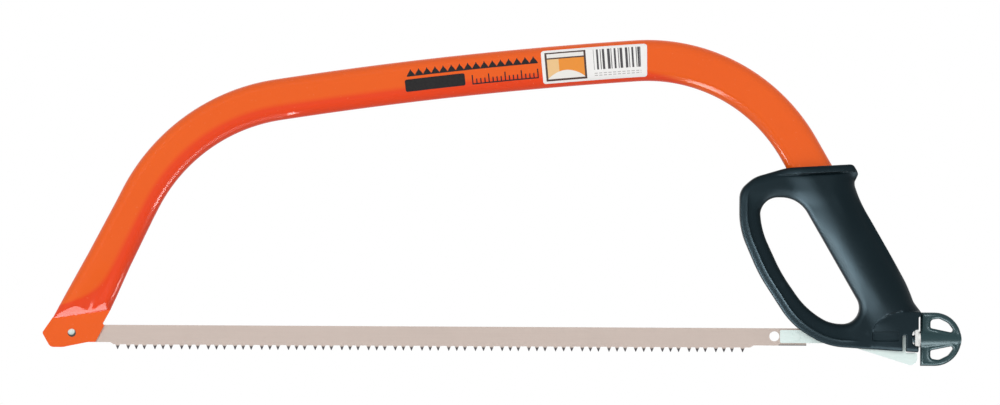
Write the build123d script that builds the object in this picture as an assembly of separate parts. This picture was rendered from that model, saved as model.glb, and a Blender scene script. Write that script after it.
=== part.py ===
"""Bow saw with a bent oval-tube frame, a D handle and a screw-tensioned blade.

Axes: X runs along the blade from the front pin to the handle, Y is the saw's
thickness, Z is up and the teeth point down.  The model is laid out from the
front pin and is written out about the middle of the grip.
"""
from build123d import *
from math import cos, pi, radians, sin, tan
import os

# ---------------------------------------------------------------- dimensions
# Blade
blade_length = 530.0          # front pin to rear pin
blade_thickness = 0.9
blade_back = 5.9              # straight back edge, above the pin line
blade_gullet = 8.3            # bottom of the gullets, below the pin line
shank_edge = 6.75             # plain ends, below the pin line
shank_front = 28.0            # plain front end, from the front pin
shank_rear = 31.0             # plain rear end, from the rear pin
shank_ramp = 2.5              # slope between a plain end and the gullets
blade_overrun = 7.5           # blade past its pins
tooth_height = 3.6
tooth_width = 3.4
tooth_pitch = 5.9             # inside one group of teeth
teeth_per_group = 3
group_gap = 7.75              # wide gullet between two groups
first_tooth = 33.5            # first tooth from the front pin
spare_hole_diameter = 7.3
spare_hole_offset = 15.9      # from the rear pin towards the front

# Pins and their clips
pin_diameter = 5.0
pin_head_diameter = 6.0
pin_head_height = 0.7
pin_clearance = 0.05          # radial, pin in its holes
clip_thickness = 0.8
clip_diameter = 9.0
clip_groove_depth = 0.5
clip_play = 0.1               # between a clip and what it holds
pin_tip = 0.8                 # pin past its clip groove
clip_mouth = 1.7              # half width of the clip's opening

# Frame tube
tube_depth = 30.2             # in the plane of the saw
tube_thickness = 15.0
tube_wall = 1.5
arm_angle = 63.2              # front arm above the blade line
front_bend_radius = 136.0
top_run_angle = 9.0           # at the front end of the top run
top_run_crown = 5.0           # the top run's own slight bend
rear_bend_radius = 127.0
grip_angle = 60.0             # tail of the tube below the blade line
tail_length = 122.0           # straight tail inside the handle
tail_end_behind_pin = 62.0
tail_end_height = 32.3

# Flattened nose of the tube
taper_start = 100.0           # where the flattening starts, along the arm
taper_middle = 60.0
taper_middle_depth = 31.8
taper_middle_thickness = 14.0
taper_foot = 31.0
taper_foot_depth = 34.2
taper_foot_thickness = 10.5
taper_foot_tilt = 27.0
crease = 15.2                 # where the flat nose starts, along the arm
crease_depth = 35.0
crease_tilt = 35.3            # the crease is nearly parallel to the blade
blade_slot_play = 0.1         # blade to each ply of the nose
nose_reach = 21.7             # foremost point, ahead of the pin
nose_tip_radius = 2.0
nose_drop = 10.5              # lowest point, below the pin
nose_sole_front = 15.8        # front end of the sole, ahead of the pin
nose_sole_rear = 6.5          # rear end of the sole, ahead of the pin
nose_corner_radius = 5.0
nose_ramp = 11.7              # where the ramp reaches the blade's edge, behind the pin
nose_ramp_radius = 10.0
nose_heel = 17.2              # rear lower corner, behind the pin
nose_heel_radius = 1.0
nose_lip = 23.5               # lower corner of the rear lip, behind the pin
nose_lip_height = 5.2
nose_lip_radius = 0.4
nose_neck = 22.6              # upper corner of the rear lip, behind the pin
nose_step = 6.9               # top of the open slot, above the pin
nose_fold = 1.8               # closed fold left beside the slot

# Handle, side view
top_bar_drop = 14.5           # top of the top bar, below the tail's start
top_bar_depth = 21.8          # down to the finger opening
top_bar_front = 7.0           # front end of the level top, ahead of the rear pin
top_bar_radius = 40.0
guard_reach = 41.6            # front of the guard, ahead of the rear pin
guard_depth = 14.7
guard_shoulder_drop = 13.5    # below the top of the top bar
guard_shoulder_radius = 17.0
guard_knee_drop = 24.3        # where the guard sweeps back, below the opening's top
guard_knee_radius = 50.0
guard_toe = 5.1               # lower corner of the guard, ahead of the rear pin
guard_toe_drop = 5.3
guard_toe_radius = 70.0
rail_slope = 3.5              # underside of the rail, falling to the rear
rail_corner_radius = 1.0
finger_bottom = 9.3
finger_knee_drop = 21.2       # below the opening's top
finger_toe = 8.2              # lower front corner, behind the rear pin
finger_top_radius = 13.0
finger_crown_radius = 20.0
finger_heel_radius = 12.0
finger_toe_radius = 40.0
finger_knee_radius = 30.0
grip_front = 17.6             # front of the grip, from the tube's axis
grip_rear = 19.4              # rear of the grip, from the tube's axis
collar_start = 29.9           # along the tail
collar_depth = 8.0
collar_overhang = 28.3        # rear edge of the collar, from the tube's axis
collar_top_radius = 4.0
collar_step_radius = 3.0
waist_start = 42.5
waist_rear = 22.5
grip_straight_start = 58.0
grip_blend_radius = 20.0
grip_overrun = 3.0            # straight grip past the tail's end
heel_hollow_overrun = 17.9    # hollow above the heel, past the tail's end
heel_hollow_rear = 17.3
heel_hollow_radius = 5.0
heel_reach = 89.0             # rear face, behind the rear pin
heel_tip = 1.6                # the upper corner stands this far past the face
heel_tip_radius = 0.8
heel_height = 19.3
heel_face_top = 7.7           # where the rear face turns upright
heel_face_radius = 4.0
block_length = 35.5           # flat lower block, up to the rear face
block_corner_radius = 17.0

# Handle, thickness (halves, from the middle plane)
guard_half = 10.0
grip_half = 16.0
grip_corner_radius = 14.0
block_half = 12.5
collar_half = 15.5
shell_wall = 2.6

# Blade tensioner
travel = 6.0                  # forward travel of the draw bar when let off
bolt_drop = 1.5               # tension bolt below the pin line
cheek_sheet = 1.5
cheek_play = 0.15             # blade to each cheek
cheek_front = 11.8            # front end of the cheeks, ahead of the rear pin
cheek_top = 4.7
cheek_bottom = 4.8
cheek_gap = 10.4              # between the cheeks behind the joggle
joggle_start = 21.0           # behind the rear pin
joggle_length = 10.0
fin_start = 33.0              # behind the rear pin
fin_slope = 17.4
fin_setback = 0.7             # rear of the fin, ahead of the heel's face
fin_top = 11.6                # below the pin line, behind the crosshead
fin_corner_radius = 5.0
fin_blend_radius = 10.0
cheek_corner_radius = 1.0
crosshead_setback = 9.2       # rear of the crosshead, ahead of the heel's face
crosshead_thickness = 2.5
crosshead_height = 12.0
crosshead_tab = 6.0
rivet_diameter = 4.0
rivet_shoulder = 7.0
rivet_front = 41.0            # behind the rear pin
rivet_rear = 62.0
running_clearance = 0.4       # cheeks to the handle's channel

# Bolt, nut, washer, knob
bolt_diameter = 5.9
bolt_length = 38.0
thread_pitch = 1.0
thread_depth = 0.45
thread_flat = 0.125           # flat crest or root, as a share of the pitch
thread_run_out = 4.0          # plain shank behind the head
hex_across_flats = 10.0
bolt_head_height = 4.0
nut_height = 5.0
bolt_clearance = 0.07         # radial, in the nut
hole_clearance = 0.35         # radial, in the crosshead, plate and washer
thrust_plate_thickness = 2.4
thrust_plate_half = 9.5
thrust_plate_top = 8.7
thrust_plate_bottom = 9.3
washer_thickness = 1.6
washer_diameter = 12.5
thrust_gap = 0.05             # washer to thrust plate
nut_proud = 0.35              # nut past the knob's face
knob_radius = 19.5
knob_flat = 10.3              # straight part of the wings
knob_half = 4.5
knob_edge_radius = 1.6
knob_rim = 6.2
knob_foot = 7.6               # solid foot in front of the windows
knob_hub_diameter = 14.0
knob_barrel_diameter = 11.6
knob_end_wall = 3.0
insert_play = 0.1             # nut in the knob
seat_play = 0.1               # thrust plate and tube in the handle

# Window and slot in the flat block
window_depth = 4.7            # ahead of the heel's face
window_top = 5.6
window_bottom = 6.5
window_corner_radius = 4.0
sight_slot_top = 1.5
sight_slot_play = 0.1

# Handle screws and tube pin
screw_diameter = 3.0
screw_length = 13.0
screw_head_diameter = 6.4
screw_head_height = 2.2
screw_seat = 6.0              # head's seat, from the middle plane
screw_play = 0.1              # radial
screw_boss_radius = 3.7
screw_recess_half = 0.4
corner_screw_shift = 2.7      # into the upper front corner of the guard
leg_screw_drop = 24.8         # below the guard's knee
toe_screw_rise = 12.0         # above the foot of the finger opening
block_screw_drop = 5.5        # below the block's upper corner
block_screw_front = 4.5       # behind the block's front
block_screw_rear = 12.0       # ahead of the rear face
tube_pin_diameter = 5.0
tube_pin_length = 23.0
tube_pin_along = 60.0         # along the tail
pocket_length = 15.0
pocket_width = 20.0
pocket_count = 4
pocket_rib = 3.0
pocket_depth = 11.5           # from the middle plane
pocket_start = 68.0           # along the tail

# Labels on the tube
label_thickness = 0.15
size_label_length = 44.0
size_label_width = 9.2
size_label_start = 94.0       # along the top run
size_label_drop = 2.6         # below the tube's centre line
sticker_length = 77.0
sticker_width = 24.0
sticker_overrun = 9.3         # onto the rear bend

# ------------------------------------------------------------------ skeleton
rear_pin_x = blade_length
top_run_end_angle = top_run_angle - top_run_crown


def direction(angle):
    """Unit vector in the side view, angle in degrees above +X."""
    return Vector(cos(radians(angle)), sin(radians(angle)))


def bend_step(radius, angle_in, angle_out):
    """How far a downward bend carries the centre line."""
    start, end = radians(angle_in), radians(angle_out)
    return radius * Vector(sin(start) - sin(end), cos(end) - cos(start))


def solve_two(first, second, target):
    """Lengths along two directions that add up to the target vector."""
    area = first.X * second.Y - first.Y * second.X
    along_first = (target.X * second.Y - target.Y * second.X) / area
    along_second = (first.X * target.Y - first.Y * target.X) / area
    return along_first, along_second


grip_direction = direction(-grip_angle)
grip_normal = direction(90 - grip_angle)
tail_end = Vector(rear_pin_x + tail_end_behind_pin, tail_end_height)
tail_start = tail_end - tail_length * grip_direction

# The arm and the top run take the lengths that bring the tail to its place.
bends = bend_step(front_bend_radius, arm_angle, top_run_angle)
bends += bend_step(rear_bend_radius, top_run_end_angle, -grip_angle)
arm_length, top_run_chord = solve_two(
    direction(arm_angle),
    direction(top_run_angle - top_run_crown / 2),
    tail_start - bends,
)
top_run_radius = top_run_chord / (2 * sin(radians(top_run_crown / 2)))

# Heights of the handle's top follow the tail, and its rear follows the heel.
top_bar_height = tail_start.Y - top_bar_drop
guard_shoulder = top_bar_height - guard_shoulder_drop
finger_top = top_bar_height - top_bar_depth
guard_knee = finger_top - guard_knee_drop
finger_knee = finger_top - finger_knee_drop
grip_straight_end = tail_length + grip_overrun
heel_hollow_start = tail_length + heel_hollow_overrun
block_front = heel_reach - block_length
crosshead_rear = heel_reach - crosshead_setback
fin_rear = heel_reach - fin_setback
window_front = heel_reach - window_depth
far = 2 * blade_length


def on_grip(along, across):
    """Side-view point by distance along the tail and behind its axis."""
    return tail_start + along * grip_direction + across * grip_normal


def behind_pin(distance, height):
    """Side-view point measured from the rear pin."""
    return Vector(rear_pin_x + distance, height)


grip_centre = on_grip((collar_start + heel_hollow_start) / 2, 0)


# -------------------------------------------------------------- small helpers
def outline(corners, radii):
    """Closed face in the side view with rounded corners."""
    loop = FilletPolyline(*[(p.X, p.Y) for p in corners], radius=radii, close=True)
    return make_face(loop.edges())


def side_plate(face, half):
    """Side-view face made into a plate about the middle plane."""
    return extrude(Plane.XZ * face, half, both=True)


def box_between(x, y, z):
    """Box from (low, high) pairs."""
    size = (x[1] - x[0], y[1] - y[0], z[1] - z[0])
    middle = ((x[0] + x[1]) / 2, (y[0] + y[1]) / 2, (z[0] + z[1]) / 2)
    return Pos(*middle) * Box(*size)


def cross_rod(x, z, radius, y_low, y_high):
    """Cylinder along Y."""
    along_y = Plane((x, y_low, z), x_dir=(1, 0, 0), z_dir=(0, 1, 0))
    low = (Align.CENTER, Align.CENTER, Align.MIN)
    return along_y * Cylinder(radius, y_high - y_low, align=low)


def long_rod(z, radius, x_low, x_high):
    """Cylinder along X in the middle plane."""
    along_x = Plane((x_low, 0, z), x_dir=(0, 1, 0), z_dir=(1, 0, 0))
    low = (Align.CENTER, Align.CENTER, Align.MIN)
    return along_x * Cylinder(radius, x_high - x_low, align=low)


# ----------------------------------------------------------------- frame tube
arm = Line(taper_start * direction(arm_angle), arm_length * direction(arm_angle))
front_bend = JernArc(arm @ 1, arm % 1, front_bend_radius, top_run_angle - arm_angle)
top_run = JernArc(front_bend @ 1, front_bend % 1, top_run_radius, -top_run_crown)
rear_bend = JernArc(
    top_run @ 1, top_run % 1, rear_bend_radius, -grip_angle - top_run_end_angle
)
tail = Line(rear_bend @ 1, rear_bend @ 1 + tail_length * (rear_bend % 1))


def section_plane(curve, position):
    """Plane across a centre line: local x is up the depth, local y across."""
    point, heading = curve @ position, curve % position
    across = Vector(-heading.Y, 0, heading.X)
    return Plane((point.X, 0, point.Y), x_dir=across, z_dir=(heading.X, 0, heading.Y))


def tube_section(shrink=0.0):
    """The tube's flat-sided oval, smaller by shrink all round."""
    return SlotOverall(tube_depth - 2 * shrink, tube_thickness - 2 * shrink)


def swept(curve, face, radius=None):
    """Solid of a section along one straight run or one bend of the route."""
    plane = section_plane(curve, 0)
    if radius is None:
        return extrude(plane * face, curve.length)
    centre = plane.origin - radius * plane.x_dir
    return revolve(plane * face, Axis(centre, (0, 1, 0)), curve.length / radius * 180 / pi)


def along_tube(shrink):
    """Oval bar along the whole bent centre line."""
    section = tube_section(shrink)
    bar = swept(arm, section) + swept(tail, section)
    bar += swept(front_bend, section, front_bend_radius)
    bar += swept(top_run, section, top_run_radius)
    return bar + swept(rear_bend, section, rear_bend_radius)


slot_gap = blade_thickness + 2 * blade_slot_play
nose_thickness = slot_gap + 2 * tube_wall
taper = [
    (taper_start, tube_depth, tube_thickness, 0.0),
    (taper_middle, taper_middle_depth, taper_middle_thickness, taper_foot_tilt / 3),
    (taper_foot, taper_foot_depth, taper_foot_thickness, taper_foot_tilt),
    (crease, crease_depth, nose_thickness, crease_tilt),
]


def taper_bar(shrink):
    """The flattened stretch: ovals that get deeper, thinner and more slanted."""
    ovals = []
    for along, depth, thickness, tilt in taper:
        centre = along * direction(arm_angle)
        across = direction(arm_angle - 90 + tilt)
        length = depth / cos(radians(tilt)) - 2 * shrink
        plane = Plane(
            (centre.X, 0, centre.Y),
            x_dir=(across.X, 0, across.Y),
            z_dir=(-across.Y, 0, across.X),
        )
        ovals.append(plane * SlotOverall(length, thickness - 2 * shrink))
    return loft(ovals, ruled=True)


def nose_corners(inset):
    """Ends of the crease, moved in by inset along the crease."""
    across = direction(arm_angle - 90 + crease_tilt)
    middle = crease * direction(arm_angle)
    half = crease_depth / cos(radians(crease_tilt)) / 2 - inset
    return middle - half * across, middle + half * across


def make_nose():
    """Two flat plies; the front fold stays closed and the rest is open."""
    front, rear = nose_corners(0)
    rise = tube_wall * direction(arm_angle)
    corners = [
        front + rise,
        Vector(-nose_reach, 0),
        Vector(-nose_sole_front, -nose_drop),
        Vector(-nose_sole_rear, -nose_drop),
        Vector(nose_ramp, -shank_edge),
        Vector(nose_heel, -shank_edge),
        Vector(nose_lip, nose_lip_height),
        Vector(nose_neck, nose_step),
        rear + rise,
    ]
    sole = [nose_tip_radius, nose_corner_radius, nose_ramp_radius, nose_ramp_radius]
    radii = [0, *sole, nose_heel_radius, nose_lip_radius, nose_lip_radius, 0]
    return side_plate(outline(corners, radii), nose_thickness / 2)


def make_nose_slot():
    """The gap between the plies, open below and to the rear."""
    front, rear = nose_corners(nose_fold)
    rise = 2 * tube_wall * direction(arm_angle)
    corners = [
        front + rise,
        Vector(-nose_reach + nose_fold, 0),
        Vector(-nose_reach, -2 * nose_drop),
        Vector(2 * tube_depth, -2 * nose_drop),
        Vector(2 * tube_depth, nose_step),
        Vector(nose_neck, nose_step),
        rear + rise,
    ]
    return side_plate(outline(corners, [0] * len(corners)), slot_gap / 2)


def make_frame_tube():
    tube = along_tube(0) + taper_bar(0) + make_nose()
    tube -= along_tube(tube_wall) + taper_bar(tube_wall)
    tube -= make_nose_slot()
    tube -= cross_rod(0, 0, pin_diameter / 2 + pin_clearance, -tube_thickness, tube_thickness)
    pin_at = on_grip(tube_pin_along, 0)
    hole = tube_pin_diameter / 2 + pin_clearance
    tube -= cross_rod(pin_at.X, pin_at.Y, hole, -tube_thickness, tube_thickness)
    return tube


# ---------------------------------------------------------------------- blade
def tooth_positions():
    """Tips of the teeth, as many whole groups as the toothed length holds."""
    group_length = (teeth_per_group - 1) * tooth_pitch + group_gap
    toothed_end = blade_length - shank_rear - tooth_width
    tips = []
    start = first_tooth
    while start + group_length - group_gap <= toothed_end:
        tips += [start + i * tooth_pitch for i in range(teeth_per_group)]
        start += group_length
    return tips


def make_blade():
    body_low = -blade_gullet
    points = [(-blade_overrun, blade_back), (-blade_overrun, -shank_edge)]
    points += [(shank_front, -shank_edge), (shank_front + shank_ramp, body_low)]
    for tip in tooth_positions():
        points += [
            (tip - tooth_width / 2, body_low),
            (tip, body_low - tooth_height),
            (tip + tooth_width / 2, body_low),
        ]
    rear_plain = blade_length - shank_rear
    points += [(rear_plain - shank_ramp, body_low), (rear_plain, -shank_edge)]
    rear_end = rear_pin_x + blade_overrun
    points += [(rear_end, -shank_edge), (rear_end, blade_back)]
    blade = side_plate(make_face(Polyline(*points, close=True).edges()), blade_thickness / 2)
    hole = pin_diameter / 2 + pin_clearance
    blade -= cross_rod(0, 0, hole, -tube_thickness, tube_thickness)
    spare_x = rear_pin_x - spare_hole_offset
    blade -= cross_rod(spare_x, 0, spare_hole_diameter / 2, -tube_thickness, tube_thickness)
    slack = Pos(rear_pin_x - travel / 2, 0) * SlotOverall(travel + 2 * hole, 2 * hole)
    return blade - side_plate(slack, blade_thickness)


# ------------------------------------------------------------- pins and clips
def make_pin(x, span):
    """Headed pin with a clip groove; span is the thickness it passes through."""
    radius = pin_diameter / 2
    groove = span / 2 + clip_play
    end = groove + clip_thickness + clip_play
    pin = cross_rod(x, 0, radius, -span / 2 - pin_head_height, end + pin_tip)
    pin += cross_rod(x, 0, pin_head_diameter / 2, -span / 2 - pin_head_height, -span / 2)
    ring = cross_rod(x, 0, pin_diameter, groove, end)
    ring -= cross_rod(x, 0, radius - clip_groove_depth, groove, end)
    return pin - ring


def make_clip(x, span):
    """Open ring that snaps into a pin's groove."""
    low = span / 2 + clip_play
    inner = pin_diameter / 2 - clip_groove_depth + pin_clearance
    clip = cross_rod(x, 0, clip_diameter / 2, low, low + clip_thickness)
    clip -= cross_rod(x, 0, inner, low, low + clip_thickness)
    mouth = (x - clip_mouth, x + clip_mouth)
    return clip - box_between(mouth, (low, low + clip_thickness), (-clip_diameter, 0))


# --------------------------------------------------------------------- handle
heel_x = rear_pin_x + heel_reach
rail_fall = tan(radians(rail_slope))


def rail_height(x):
    """Underside of the rail."""
    toe_x = rear_pin_x - guard_toe
    return -guard_toe_drop - (x - toe_x) * rail_fall


def front_of_grip(height, offset):
    """Point on a line parallel to the grip's front, at the given height."""
    along = (tail_start.Y - offset * grip_normal.Y - height) / -grip_direction.Y
    return on_grip(along, -offset)


def silhouette():
    """The handle's outer line, clockwise from the top of the collar."""
    corners = [
        on_grip(collar_start, collar_overhang),
        on_grip(collar_start + collar_depth, collar_overhang),
        on_grip(waist_start, waist_rear),
        on_grip(grip_straight_start, grip_rear),
        on_grip(grip_straight_end, grip_rear),
        on_grip(heel_hollow_start, heel_hollow_rear),
        Vector(heel_x + heel_tip, heel_height),
        Vector(heel_x, heel_face_top),
        Vector(heel_x, rail_height(heel_x)),
        behind_pin(-guard_toe, -guard_toe_drop),
        behind_pin(-guard_reach, guard_knee),
        behind_pin(-guard_reach, guard_shoulder),
        behind_pin(-top_bar_front, top_bar_height),
    ]
    rear = [collar_top_radius, collar_step_radius, collar_step_radius]
    rear += [grip_blend_radius, grip_blend_radius, heel_hollow_radius]
    heel = [heel_tip_radius, heel_face_radius, rail_corner_radius]
    front = [guard_toe_radius, guard_knee_radius, guard_shoulder_radius, top_bar_radius]
    return outline(corners, rear + heel + front)


def finger_opening():
    """The hole for the hand."""
    corners = [
        behind_pin(-guard_reach + guard_depth, finger_top),
        front_of_grip(finger_top, grip_front),
        front_of_grip(finger_bottom, grip_front),
        behind_pin(finger_toe, finger_bottom),
        behind_pin(-guard_reach + guard_depth, finger_knee),
    ]
    radii = [finger_top_radius, finger_crown_radius, finger_heel_radius]
    return outline(corners, radii + [finger_toe_radius, finger_knee_radius])


def block_region():
    """Side view of the flat lower block."""
    corners = [
        behind_pin(block_front, heel_height),
        Vector(far, heel_height),
        Vector(far, -far),
        behind_pin(block_front, -far),
    ]
    return outline(corners, [block_corner_radius, 0, 0, 0])


def grip_plane(along, across=0.0):
    """Plane across the tail: local x to the rear, local y along Y."""
    point = on_grip(along, across)
    return Plane(
        (point.X, 0, point.Y),
        x_dir=(grip_normal.X, 0, grip_normal.Y),
        z_dir=(grip_direction.X, 0, grip_direction.Y),
    )


def screw_places():
    """Where the two shells are screwed together."""
    guard_middle = -guard_reach + guard_depth / 2
    block_height = heel_height - block_screw_drop
    return [
        behind_pin(guard_middle + corner_screw_shift, finger_top + corner_screw_shift),
        behind_pin(-2 * top_bar_front, (finger_top + top_bar_height) / 2),
        behind_pin(-guard_reach / 2, guard_knee - leg_screw_drop),
        behind_pin(-guard_toe / 2, finger_bottom + toe_screw_rise),
        behind_pin(block_front + block_screw_front, block_height),
        Vector(heel_x - block_screw_rear, block_height),
    ]


channel_half = cheek_gap / 2 + cheek_sheet + running_clearance
narrow_half = blade_thickness / 2 + cheek_play + cheek_sheet + running_clearance
channel_top = cheek_top + running_clearance
channel_start = rear_pin_x + joggle_start - travel - 2 * running_clearance
plate_front_x = heel_x - thrust_plate_thickness


def make_channel():
    """Trough for the draw bar, open below; narrow where the blade enters."""
    front = rear_pin_x - guard_reach
    wide = box_between(
        (channel_start, plate_front_x), (-channel_half, channel_half), (-far, channel_top)
    )
    slot_top = blade_back + running_clearance
    narrow = box_between(
        (front, channel_start), (-narrow_half, narrow_half), (-far, slot_top)
    )
    return wide + narrow


def make_guard_hollow():
    """Space inside the guard and top bar, around the screw bosses."""
    ring = silhouette() - finger_opening()
    hollow = offset(ring, -shell_wall, kind=Kind.INTERSECTION)
    grip_edge = tube_depth / 2 + shell_wall + seat_play
    above, below = front_of_grip(far, grip_edge), front_of_grip(-far, grip_edge)
    grip_zone = outline([above, below, Vector(2 * far, -far), Vector(2 * far, far)], [0] * 4)
    floor = channel_top + shell_wall
    level = [Vector(0, floor), Vector(far, floor), Vector(far, -far), Vector(0, -far)]
    toe_zone = outline(level, [0] * 4)
    hollow = hollow - grip_zone - toe_zone
    for place in screw_places():
        hollow -= Pos(place.X, place.Y) * Circle(screw_boss_radius)
    return side_plate(hollow, guard_half - shell_wall)


def make_handle_body():
    """Outside of the handle as one body."""
    outer = silhouette()
    opening = side_plate(finger_opening(), 2 * grip_half)
    clip = side_plate(outer, 2 * grip_half)
    block = side_plate(block_region(), 2 * grip_half)
    base = side_plate(outer, guard_half) - opening
    width = grip_front + grip_rear
    section = grip_plane(collar_start, (grip_rear - grip_front) / 2)
    grip = section * extrude(
        RectangleRounded(width, 2 * grip_half, grip_corner_radius), heel_hollow_start
    )
    grip = (grip & clip) - block
    band = [
        on_grip(collar_start, collar_overhang),
        on_grip(collar_start + collar_depth, collar_overhang),
        on_grip(waist_start, waist_rear),
        behind_pin(-top_bar_front, top_bar_height - collar_depth),
        behind_pin(-top_bar_front, top_bar_height),
    ]
    band_radii = [collar_top_radius, collar_step_radius, 0, collar_top_radius, 0]
    collar = side_plate(outline(band, band_radii), collar_half)
    foot = clip & block & side_plate(outer, block_half)
    return base + grip + collar + foot - opening


def make_tube_seat():
    """Room for the tube's tail, its last bend and the cross pin."""
    seat = tube_section(-seat_play)
    straight = extrude(grip_plane(0) * seat, tail_length + seat_play)
    pin_at = on_grip(tube_pin_along, 0)
    bend_centre = on_grip(0, -rear_bend_radius)
    bend_axis = Axis((bend_centre.X, 0, bend_centre.Y), (0, 1, 0))
    bent = revolve(grip_plane(0) * seat, bend_axis, -grip_angle / 2)
    pin_half = tube_pin_length / 2 + seat_play
    pin_hole = tube_pin_diameter / 2 + pin_clearance
    return straight + bent + cross_rod(pin_at.X, pin_at.Y, pin_hole, -pin_half, pin_half)


def make_pockets():
    """Hollows between ribs on both sides of the tube."""
    pockets = []
    for i in range(pocket_count):
        along = pocket_start + i * (pocket_length + pocket_rib)
        cell = Rectangle(pocket_width, 2 * pocket_depth)
        pockets.append(extrude(grip_plane(along) * cell, pocket_length))
    return Part() + pockets


def make_window():
    """See-through window over the tension bolt, open to the rear face."""
    corners = [
        behind_pin(window_front, window_top),
        Vector(far, window_top),
        Vector(far, -window_bottom),
        behind_pin(window_front, -window_bottom),
    ]
    window = side_plate(outline(corners, [window_corner_radius, 0, 0, 0]), 2 * grip_half)
    slot_rear = rear_pin_x + crosshead_rear + sight_slot_play
    slot_front = slot_rear - crosshead_thickness - 2 * sight_slot_play
    slot = box_between((slot_front, slot_rear), (-grip_half, grip_half), (-far, sight_slot_top))
    return window + slot


def make_thrust_plate(grow=0.0):
    """Steel plate that takes the knob's push."""
    half = thrust_plate_half + grow
    low, high = -thrust_plate_bottom - grow, thrust_plate_top + grow
    return box_between((plate_front_x - grow, heel_x), (-half, half), (low, high))


def make_screw(place):
    """Pan-head screw driven from the back."""
    screw = cross_rod(place.X, place.Y, screw_diameter / 2, screw_seat - screw_length, screw_seat)
    head = cross_rod(
        place.X, place.Y, screw_head_diameter / 2, screw_seat, screw_seat + screw_head_height
    )
    recess = box_between(
        (place.X - screw_diameter / 2, place.X + screw_diameter / 2),
        (screw_seat + screw_head_height / 2, screw_seat + screw_head_height),
        (place.Y - screw_recess_half, place.Y + screw_recess_half),
    )
    recess += Pos(place.X, 0, place.Y) * Rot(0, 90, 0) * Pos(-place.X, 0, -place.Y) * recess
    return screw + head - recess


def make_screw_holes(place):
    """Pilot hole in one shell, clearance hole and deep counterbore in the other."""
    shank = screw_diameter / 2 + screw_play
    bore = cross_rod(place.X, place.Y, shank, screw_seat - screw_length - screw_play, screw_seat)
    well = screw_head_diameter / 2 + screw_play
    return bore + cross_rod(place.X, place.Y, well, screw_seat, 2 * grip_half)


def make_handle_shells():
    body = make_handle_body()
    body -= make_guard_hollow()
    body -= make_channel()
    body -= make_tube_seat()
    body -= make_pockets()
    body -= make_window()
    body -= make_thrust_plate(seat_play)
    for place in screw_places():
        body -= make_screw_holes(place)
    left = body & box_between((0, far), (-2 * grip_half, 0), (-far, far))
    right = body & box_between((0, far), (0, 2 * grip_half), (-far, far))
    return left, right


def make_tube_pin():
    pin_at = on_grip(tube_pin_along, 0)
    half = tube_pin_length / 2
    pin = cross_rod(pin_at.X, pin_at.Y, tube_pin_diameter / 2, -half, half)
    bore = cross_rod(pin_at.X, pin_at.Y, tube_pin_diameter / 4, -half, half)
    return pin - bore


# ------------------------------------------------------------------ tensioner
front_gap = blade_thickness + 2 * cheek_play
fin_fall = tan(radians(fin_slope))


def cheek_profile():
    """Side view of one cheek: a strap that deepens into a fin at the rear."""
    fin_low = -cheek_bottom - (fin_rear - fin_start) * fin_fall
    corners = [
        behind_pin(-cheek_front, cheek_top),
        behind_pin(crosshead_rear + sight_slot_play, cheek_top),
        behind_pin(crosshead_rear + sight_slot_play, -fin_top),
        behind_pin(fin_rear, -fin_top),
        behind_pin(fin_rear, fin_low),
        behind_pin(fin_start, -cheek_bottom),
        behind_pin(-cheek_front, -cheek_bottom),
    ]
    square = [cheek_corner_radius] * 4
    return outline(corners, square + [fin_corner_radius, fin_blend_radius, cheek_corner_radius])


def cheek_plan():
    """Plan view of the left cheek, with the joggle that spreads it."""
    near, spread = front_gap / 2, cheek_gap / 2
    front = rear_pin_x - 2 * cheek_front
    bend, bend_end = rear_pin_x + joggle_start, rear_pin_x + joggle_start + joggle_length
    shift = cheek_sheet * (spread - near) / joggle_length / 2
    inner = [(front, -near), (bend, -near), (bend_end, -spread), (far, -spread)]
    outer = [
        (far, -spread - cheek_sheet),
        (bend_end - shift, -spread - cheek_sheet),
        (bend - shift, -near - cheek_sheet),
        (front, -near - cheek_sheet),
    ]
    return make_face(Polyline(*inner, *outer, close=True).edges())


def make_cheek(side):
    """One cheek; side is -1 for the left, +1 for the right."""
    plan = cheek_plan()
    if side > 0:
        plan = mirror(plan, Plane.XZ)
    sheet = extrude(plan, far, both=True)
    cheek = sheet & side_plate(cheek_profile(), grip_half)
    reach = 2 * grip_half
    cheek -= cross_rod(rear_pin_x, 0, pin_diameter / 2 + pin_clearance, -reach, reach)
    for distance in (rivet_front, rivet_rear):
        hole = rivet_diameter / 2 + pin_clearance
        cheek -= cross_rod(rear_pin_x + distance, 0, hole, -reach, reach)
    return cheek - make_crosshead(insert_play / 2)


def make_crosshead(grow=0.0):
    """Plate between the cheeks that the bolt pulls on; its tabs pass the cheeks."""
    high = rear_pin_x + crosshead_rear + grow
    low = high - crosshead_thickness - 2 * grow
    inner = cheek_gap / 2
    outer = inner + cheek_sheet
    half = crosshead_height / 2
    tab = crosshead_tab / 2 + grow
    plate = box_between((low, high), (-inner, inner), (-bolt_drop - half, -bolt_drop + half))
    plate += box_between((low, high), (-outer, outer), (-bolt_drop - tab, -bolt_drop + tab))
    hole = bolt_diameter / 2 + hole_clearance
    return plate - long_rod(-bolt_drop, hole, low, high)


def make_rivets():
    """Shouldered rivets that keep the cheeks apart, flush outside."""
    rivets = []
    outer = cheek_gap / 2 + cheek_sheet
    for distance in (rivet_front, rivet_rear):
        x = rear_pin_x + distance
        shank = cross_rod(x, 0, rivet_diameter / 2, -outer, outer)
        rivets.append(shank + cross_rod(x, 0, rivet_shoulder / 2, -cheek_gap / 2, cheek_gap / 2))
    return Part() + rivets


bolt_head_x = rear_pin_x + crosshead_rear - crosshead_thickness
washer_x = heel_x + thrust_gap
nut_x = washer_x + washer_thickness
knob_x = nut_x + nut_proud


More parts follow.
